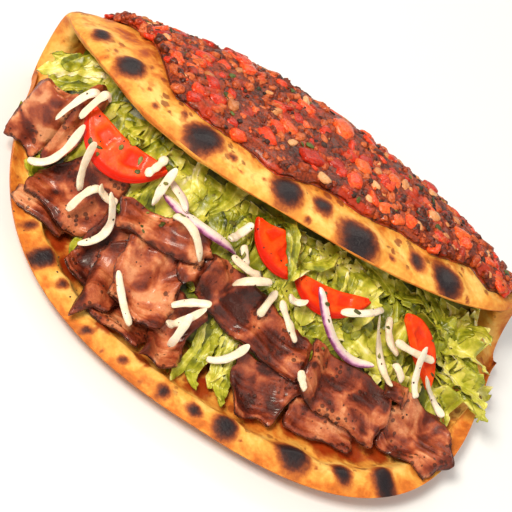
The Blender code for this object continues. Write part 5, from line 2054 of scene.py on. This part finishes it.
# ----------------------------------------------------------------------------- cheese
@dataclass(frozen=True)
class CheeseFinish:
    """Soft white cheese, slightly creamy."""

    cream: Stops = ((0.0, (228, 206, 176)), (0.5, (242, 227, 203)), (1.0, (252, 243, 228)))

    def material(self) -> bpy.types.Material:
        """The finish, from the value tone.

        Returns:
            The material.
        """
        b = NodeBoard("white_cheese")
        tone = b.add(b.value("tone"), b.swing(b.noise(0.004, 3.0), 0.2), clamp=True)
        b.dress(b.ramp(tone, self.cream), 0.42, scatter=0.3, radius=(0.004, 0.003, 0.002))
        b.bump(b.noise(0.0018, 3.0), 0.0004, 0.5)
        return b.material


@dataclass(frozen=True)
class CheeseStrands:
    """Shredded cheese; each strand has a start, a middle and an end in mm."""

    wide: float = 3.8
    high: float = 2.8
    swell: float = 0.17
    lumpiness: float = 0.00035
    lines: Rows = (
        (-105, -45, -111, -50, -117, -53), (-101, -47, -105, -52, -109, -57),
        (-106, -61, -109, -66, -119, -68), (-99, -69, -97, -73, -93, -77),
        (-84, -75, -90, -79, -94, -85), (-88, -80, -83, -80, -77, -79),
        (-83, -83, -75, -88, -83, -94), (-68, -59, -70, -65, -73, -69),
        (-62, -63, -63, -70, -62, -73), (-54, -80, -44, -84, -34, -90),
        (-20, -66, -24, -73, -28, -81), (-19, -73, -16, -76, -13, -79),
        (-22, -81, -13, -83, -4, -80), (-1, -84, -10, -89, -16, -90),
        (5, -80, 4, -86, 3, -91), (9, -82, 16, -87, 24, -93),
        (10, -82, 15, -81, 19, -81), (-35, -105, -28, -102, -20, -101),
        (-22, -106, -28, -109, -34, -115), (-27, -110, -27, -115, -27, -118),
        (4, -106, -1, -111, -9, -114), (-63, -103, -55, -113, -47, -119),
        (29, -108, 32, -112, 35, -114), (34, -79, 45, -75, 54, -64),
        (50, -76, 64, -78, 72, -93), (61, -61, 64, -71, 72, -73),
        (66, -73, 77, -73, 88, -70), (78, -74, 83, -81, 88, -87),
        (86, -81, 98, -79, 107, -83), (71, -80, 74, -83, 78, -85))

    def path(self, line: tuple[float, ...], t: np.ndarray) -> tuple[np.ndarray, np.ndarray]:
        """Middle line, a parabola through three points, and the direction across it.

        Args:
            line: start, middle and end in mm.
            t: shares of the way.

        Returns:
            Points and directions of the plan, (n, 2).
        """
        p0, p1, p2 = (np.array(line[k : k + 2]) * MM for k in (0, 2, 4))
        mid = 2 * p1 - 0.5 * (p0 + p2)
        t = t[:, None]
        way = unit(2 * (1 - t) * (mid - p0) + 2 * t * (p2 - mid))
        centre = (1 - t) ** 2 * p0 + 2 * t * (1 - t) * mid + t**2 * p2 + SHIFT
        return centre, np.stack([-way[:, 1], way[:, 0]], 1)

    def build(self, top: HeightField, finish: bpy.types.Material) -> None:
        """Each strand as a rounded bar over the parabola of its solid, slightly lumpy.

        Args:
            top: heights of the heap so far.
            finish: its material.
        """
        for index, line in enumerate(self.lines):
            node = "cheese_%02d" % (index + 1)
            t = np.linspace(0, 1, 5)
            centre, side = self.path(line, t)
            half = 0.5 * self.wide * MM * (1.0 - 0.35 * (2.0 * t - 1.0) ** 4)
            plan = centre[:, None] + (half[:, None] * np.array([-1.0, 1.0]))[..., None] * side[:, None]
            rise = np.polynomial.polynomial.polyfit(t, node_lows(node, plan).mean(1), 2)
            t = eased(44)
            w = np.sin(np.linspace(-0.5 * math.pi, 0.5 * math.pi, 11))
            centre, side = self.path(line, t)
            swell = 1.0 + self.swell * soft_noise(np.stack([t * 6.0, t * 0 + index], -1), 1.0, 101)
            end = quarter_round(9.0 * np.minimum(t, 1 - t))
            half = 0.5 * self.wide * MM * swell * (0.25 + 0.75 * end) * (1.0 - 0.12 * (2 * t - 1) ** 4)
            plan = centre[:, None] + (w[None, :] * half[:, None])[..., None] * side[:, None]
            z = np.polynomial.polynomial.polyval(t, rise)[:, None] + 0.5 * self.high * MM
            tall = 0.5 * self.high * MM * (swell * (0.2 + 0.8 * end))[:, None] * bulge(w, 2.6)[None]
            dent = self.lumpiness * layered_noise(plan, 0.0034, 102)
            faces = lifted(plan, z + tall + dent), lifted(plan, z - tall)
            tone = np.full(plan.shape[:2], 0.5 + 0.4 * (own_number(index, 1, 12) - 0.5))
            name = "strand_%02d" % (index + 1)
            place_piece(name, faces, {"tone": tone}, finish, node, top)


@dataclass(frozen=True)
class FleckFinish:
    """Dried herb or ground pepper lying on the filling."""

    name: str
    tones: Stops
    rough: float = 0.5

    def material(self) -> bpy.types.Material:
        """The finish, from the value tone.

        Returns:
            The material.
        """
        b = NodeBoard(self.name)
        tone = b.add(b.value("tone"), b.swing(b.noise(0.0012, 2.0), 0.2), clamp=True)
        b.dress(b.ramp(tone, self.tones), self.rough)
        return b.material


@dataclass(frozen=True)
class Flecks:
    """Flakes of herb at known places of the plan (mm) and grains spread over the filling."""

    herbs: Rows = (
        (-100, -63), (-96, -64), (-87, -61), (-76, -67), (-17, -77), (-6, -81), (27, -79),
        (-27, -64), (-25, -68), (-51, -80), (67, -77), (63, -79), (-55, -78), (18, -78),
        (40, -78), (72, -76), (-77, -62))
    herb_count: int = 26
    grain_count: int = 190
    lowest: float = 0.010
    step: float = 0.0012
    known_wide: float = 0.0017
    spread_wide: float = 0.0010
    herb_flat: float = 0.16
    grain_half: tuple[float, float] = (0.20, 0.52)

    def lie(self, top: HeightField, plan: np.ndarray, sizes: np.ndarray, seed: int) -> Shell:
        """Flat bits on the heap, each leaned to the slope under it.

        Args:
            top: heights of the filling.
            plan: places, (k, 2).
            sizes: half sizes, (k, 3).
            seed: which turns and dents.

        Returns:
            One shell of all of them.
        """
        rng = np.random.default_rng(seed)
        east, north = np.array([self.step, 0.0]), np.array([0.0, self.step])
        slope = np.stack([top.at(plan + way) - top.at(plan - way) for way in (east, north)], -1)
        slope = np.clip(slope / (2.0 * self.step), -1.2, 1.2)
        normal = unit(lifted(-slope, np.ones(len(plan))))
        turn, tilt = rng.uniform(0, 2 * math.pi, len(plan)), rng.normal(0, 0.15, len(plan))
        turns = spun(normal, sideways(normal), turn, tilt)
        places = lifted(plan, top.at(plan) + 0.5 * sizes[:, 2])
        return scattered(cube_ball(3, 2.2), places, turns, sizes, 0.35, seed)

    def build(self, top: HeightField) -> None:
        """The herb flakes and the pepper grains, one piece of each kind.

        Args:
            top: heights of the heap so far.
        """
        rng = np.random.default_rng(71)
        count = self.herb_count
        spread = np.stack([rng.uniform(-104, 100, count), rng.uniform(-92, -52, count)], -1)
        plan = np.concatenate([np.array(self.herbs, float), spread]) * MM + SHIFT
        wide = np.where(np.arange(len(plan)) < len(self.herbs), self.known_wide, self.spread_wide)
        count = len(plan)
        shares = [rng.uniform(0.8, 1.3, count), rng.uniform(0.5, 0.8, count)]
        sizes = wide[:, None] * np.stack([*shares, np.full(count, self.herb_flat)], -1)
        herb = FleckFinish("herb_flakes", ((0.0, (52, 54, 18)), (0.5, (92, 92, 30)), (1.0, (128, 122, 46))))
        put("herb_flakes", self.lie(top, plan, sizes, 72), herb.material(), [])
        count = self.grain_count
        plan = np.stack([rng.uniform(-118, 108, count), rng.uniform(-118, -48, count)], -1) * MM + SHIFT
        plan = plan[top.at(plan) > self.lowest]
        sizes = rng.uniform(*self.grain_half, len(plan))[:, None] * MM * np.array([1.0, 0.8, 0.6])
        grain = FleckFinish("pepper_grains", ((0.0, (30, 16, 10)), (1.0, (86, 48, 26))))
        put("pepper_grains", self.lie(top, plan, sizes, 73), grain.material(), [])


@dataclass(frozen=True)
class Filling:
    """Everything inside the fold, laid from the bottom up."""

    bread: Bread = Bread()
    floor_end: float = 0.004
    flap_start: float = 0.06
    spacing: float = 0.0004

    def roof(self, names: list[str], flap: HeightField) -> HeightField:
        """Undersides of the solids that lie over the lettuce, and of the upper flap.

        Args:
            names: the solids.
            flap: undersides of the upper flap.

        Returns:
            The lower of the two everywhere.
        """
        field_low = HeightField(1.0)
        for name in names:
            field_low.lower_to(dense_points(node_triangles(name), self.spacing))
        field_low = field_low.spread(1, lowest=True)
        field_low.grid = np.minimum(field_low.grid, flap.grid)
        return field_low

    def build(self) -> None:
        """Lettuce, meat, tomato, onion, the high shreds, cheese and flecks."""
        x, s = self.bread.places()
        _, inner = self.bread.sheet.faces_at(x, s, self.bread.upper_blisters, self.bread.lower_blisters)
        top, flap = HeightField(0.0), HeightField(1.0)
        top.raise_to(inner[s < self.floor_end])
        top = top.spread(2)
        flap.lower_to(inner[s > self.flap_start])
        flap = flap.spread(3, lowest=True)
        names = [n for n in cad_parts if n.split("_")[0] in ("meat", "tomato", "onion", "cheese")]
        lettuce, leaf = Lettuce(), LettuceFinish().material()
        lettuce.build_low(top, self.roof(names, flap), leaf)
        meat = MeatFinish().material()
        for index, piece in enumerate(MEAT):
            piece.build(index, top, meat)
        for finish, pieces in ((TomatoFinish(), TOMATOES), (OnionFinish(), ONIONS)):
            material = finish.material()
            for piece in pieces:
                piece.build(top, material)
        cheese = [n for n in names if n.startswith("cheese")]
        lettuce.build_high(top, self.roof(cheese, flap), leaf)
        CheeseStrands().build(top, CheeseFinish().material())
        Flecks().build(top)


# ------------------------------------------------------------------- camera and light
@dataclass(frozen=True)
class Studio:
    """Pale floor, soft light and the camera."""

    azimuth: float = -18.77
    elevation: float = 50.0
    roll: float = 43.33
    target: tuple[float, float, float] = (-0.0022, 0.0061, 0.02)
    distance: float = 0.85
    lens: float = 128.7
    floor_half: float = 3.0
    floor_low: float = -0.0002
    floor_colour: Colour = (232, 237, 244)
    sky_colour: Colour = (1.0, 0.94, 0.84)
    sky_strength: float = 0.36
    middle: tuple[float, float, float] = (0.0, 0.0, 0.03)
    lamps: tuple[tuple[str, Colour, float, float, Colour], ...] = (
        ("key", (-0.55, -0.35, 0.95), 0.34, 13.8, (1.0, 0.92, 0.77)),
        ("fill", (0.75, -0.55, 0.70), 0.8, 3.2, (1.0, 0.94, 0.84)),
        ("rim", (0.10, 0.85, 0.75), 0.6, 3.8, (1.0, 0.93, 0.82)))

    def stand(self, name: str, data: bpy.types.ID, axes: tuple[np.ndarray, ...],
              place: np.ndarray) -> bpy.types.Object:
        """Add a camera or light.

        Args:
            name: name of the object.
            data: its camera or light.
            axes: directions of its own x, y and z.
            place: where it stands.

        Returns:
            The new object.
        """
        obj = bpy.data.objects.new(name, data)
        bpy.context.scene.collection.objects.link(obj)
        obj.matrix_world = [[*axis, 0.0] for axis in axes] + [[*place, 1.0]]
        return obj

    def camera(self) -> None:
        """Camera on a sphere round its target, rolled about its own view.

        Its own axes are the sphere's eastward and northward tangents, turned by the roll.
        """
        az, el, roll = (math.radians(a) for a in (self.azimuth, self.elevation, self.roll))
        back = np.array([math.sin(az) * math.cos(el), -math.cos(az) * math.cos(el), math.sin(el)])
        right = np.array([math.cos(az), math.sin(az), 0.0])
        up = np.cross(back, right)
        side = right * math.cos(roll) + up * math.sin(roll)
        top = -right * math.sin(roll) + up * math.cos(roll)
        data = bpy.data.cameras.new("camera")
        data.lens, data.sensor_width, data.clip_start = self.lens, 36.0, 0.01
        place = np.array(self.target) + self.distance * back
        bpy.context.scene.camera = self.stand("camera", data, (side, top, back), place)

    def lamp(self, name: str, place: tuple[float, float, float], size: float, power: float,
             tint: Colour) -> None:
        """One square soft light that faces the middle of the wrap.

        Args:
            name: name of the light.
            place: where it stands.
            size: side of its square in metres.
            power: its power in watts.
            tint: its colour.
        """
        data = bpy.data.lights.new(name, "AREA")
        data.size, data.energy, data.color = size, power, tint
        back = unit(np.array(place) - np.array(self.middle))
        right = unit(np.cross(np.array([0.0, 1.0, 0.001]), back))
        self.stand(name, data, (right, np.cross(back, right), back), np.array(place))

    def build(self) -> None:
        """Floor, world, lamps and camera."""
        half, low = self.floor_half, self.floor_low
        corners = [(-half, -half, low), (half, -half, low), (half, half, low), (-half, half, low)]
        mesh = bpy.data.meshes.new("floor")
        mesh.from_pydata(corners, [], [(0, 1, 2, 3)])
        board = NodeBoard("pale_floor")
        board.dress(linear(self.floor_colour), 0.6)
        mesh.materials.append(board.material)
        floor = bpy.data.objects.new("floor", mesh)
        bpy.context.scene.collection.objects.link(floor)
        world = bpy.data.worlds.new("studio")
        world.use_nodes = True
        sky = world.node_tree.nodes["Background"].inputs
        sky["Color"].default_value = (*self.sky_colour, 1.0)
        sky["Strength"].default_value = self.sky_strength
        bpy.context.scene.world = world
        bpy.context.scene.view_settings.view_transform = "Standard"
        for row in self.lamps:
            self.lamp(*row)
        self.camera()


def main() -> None:
    """Build every part of the wrap in order."""
    logging.basicConfig(level=logging.INFO, format="%(message)s")
    Bread().build()
    Topping().build()
    Filling().build()
    Studio().build()


if __name__ == "__main__":
    main()
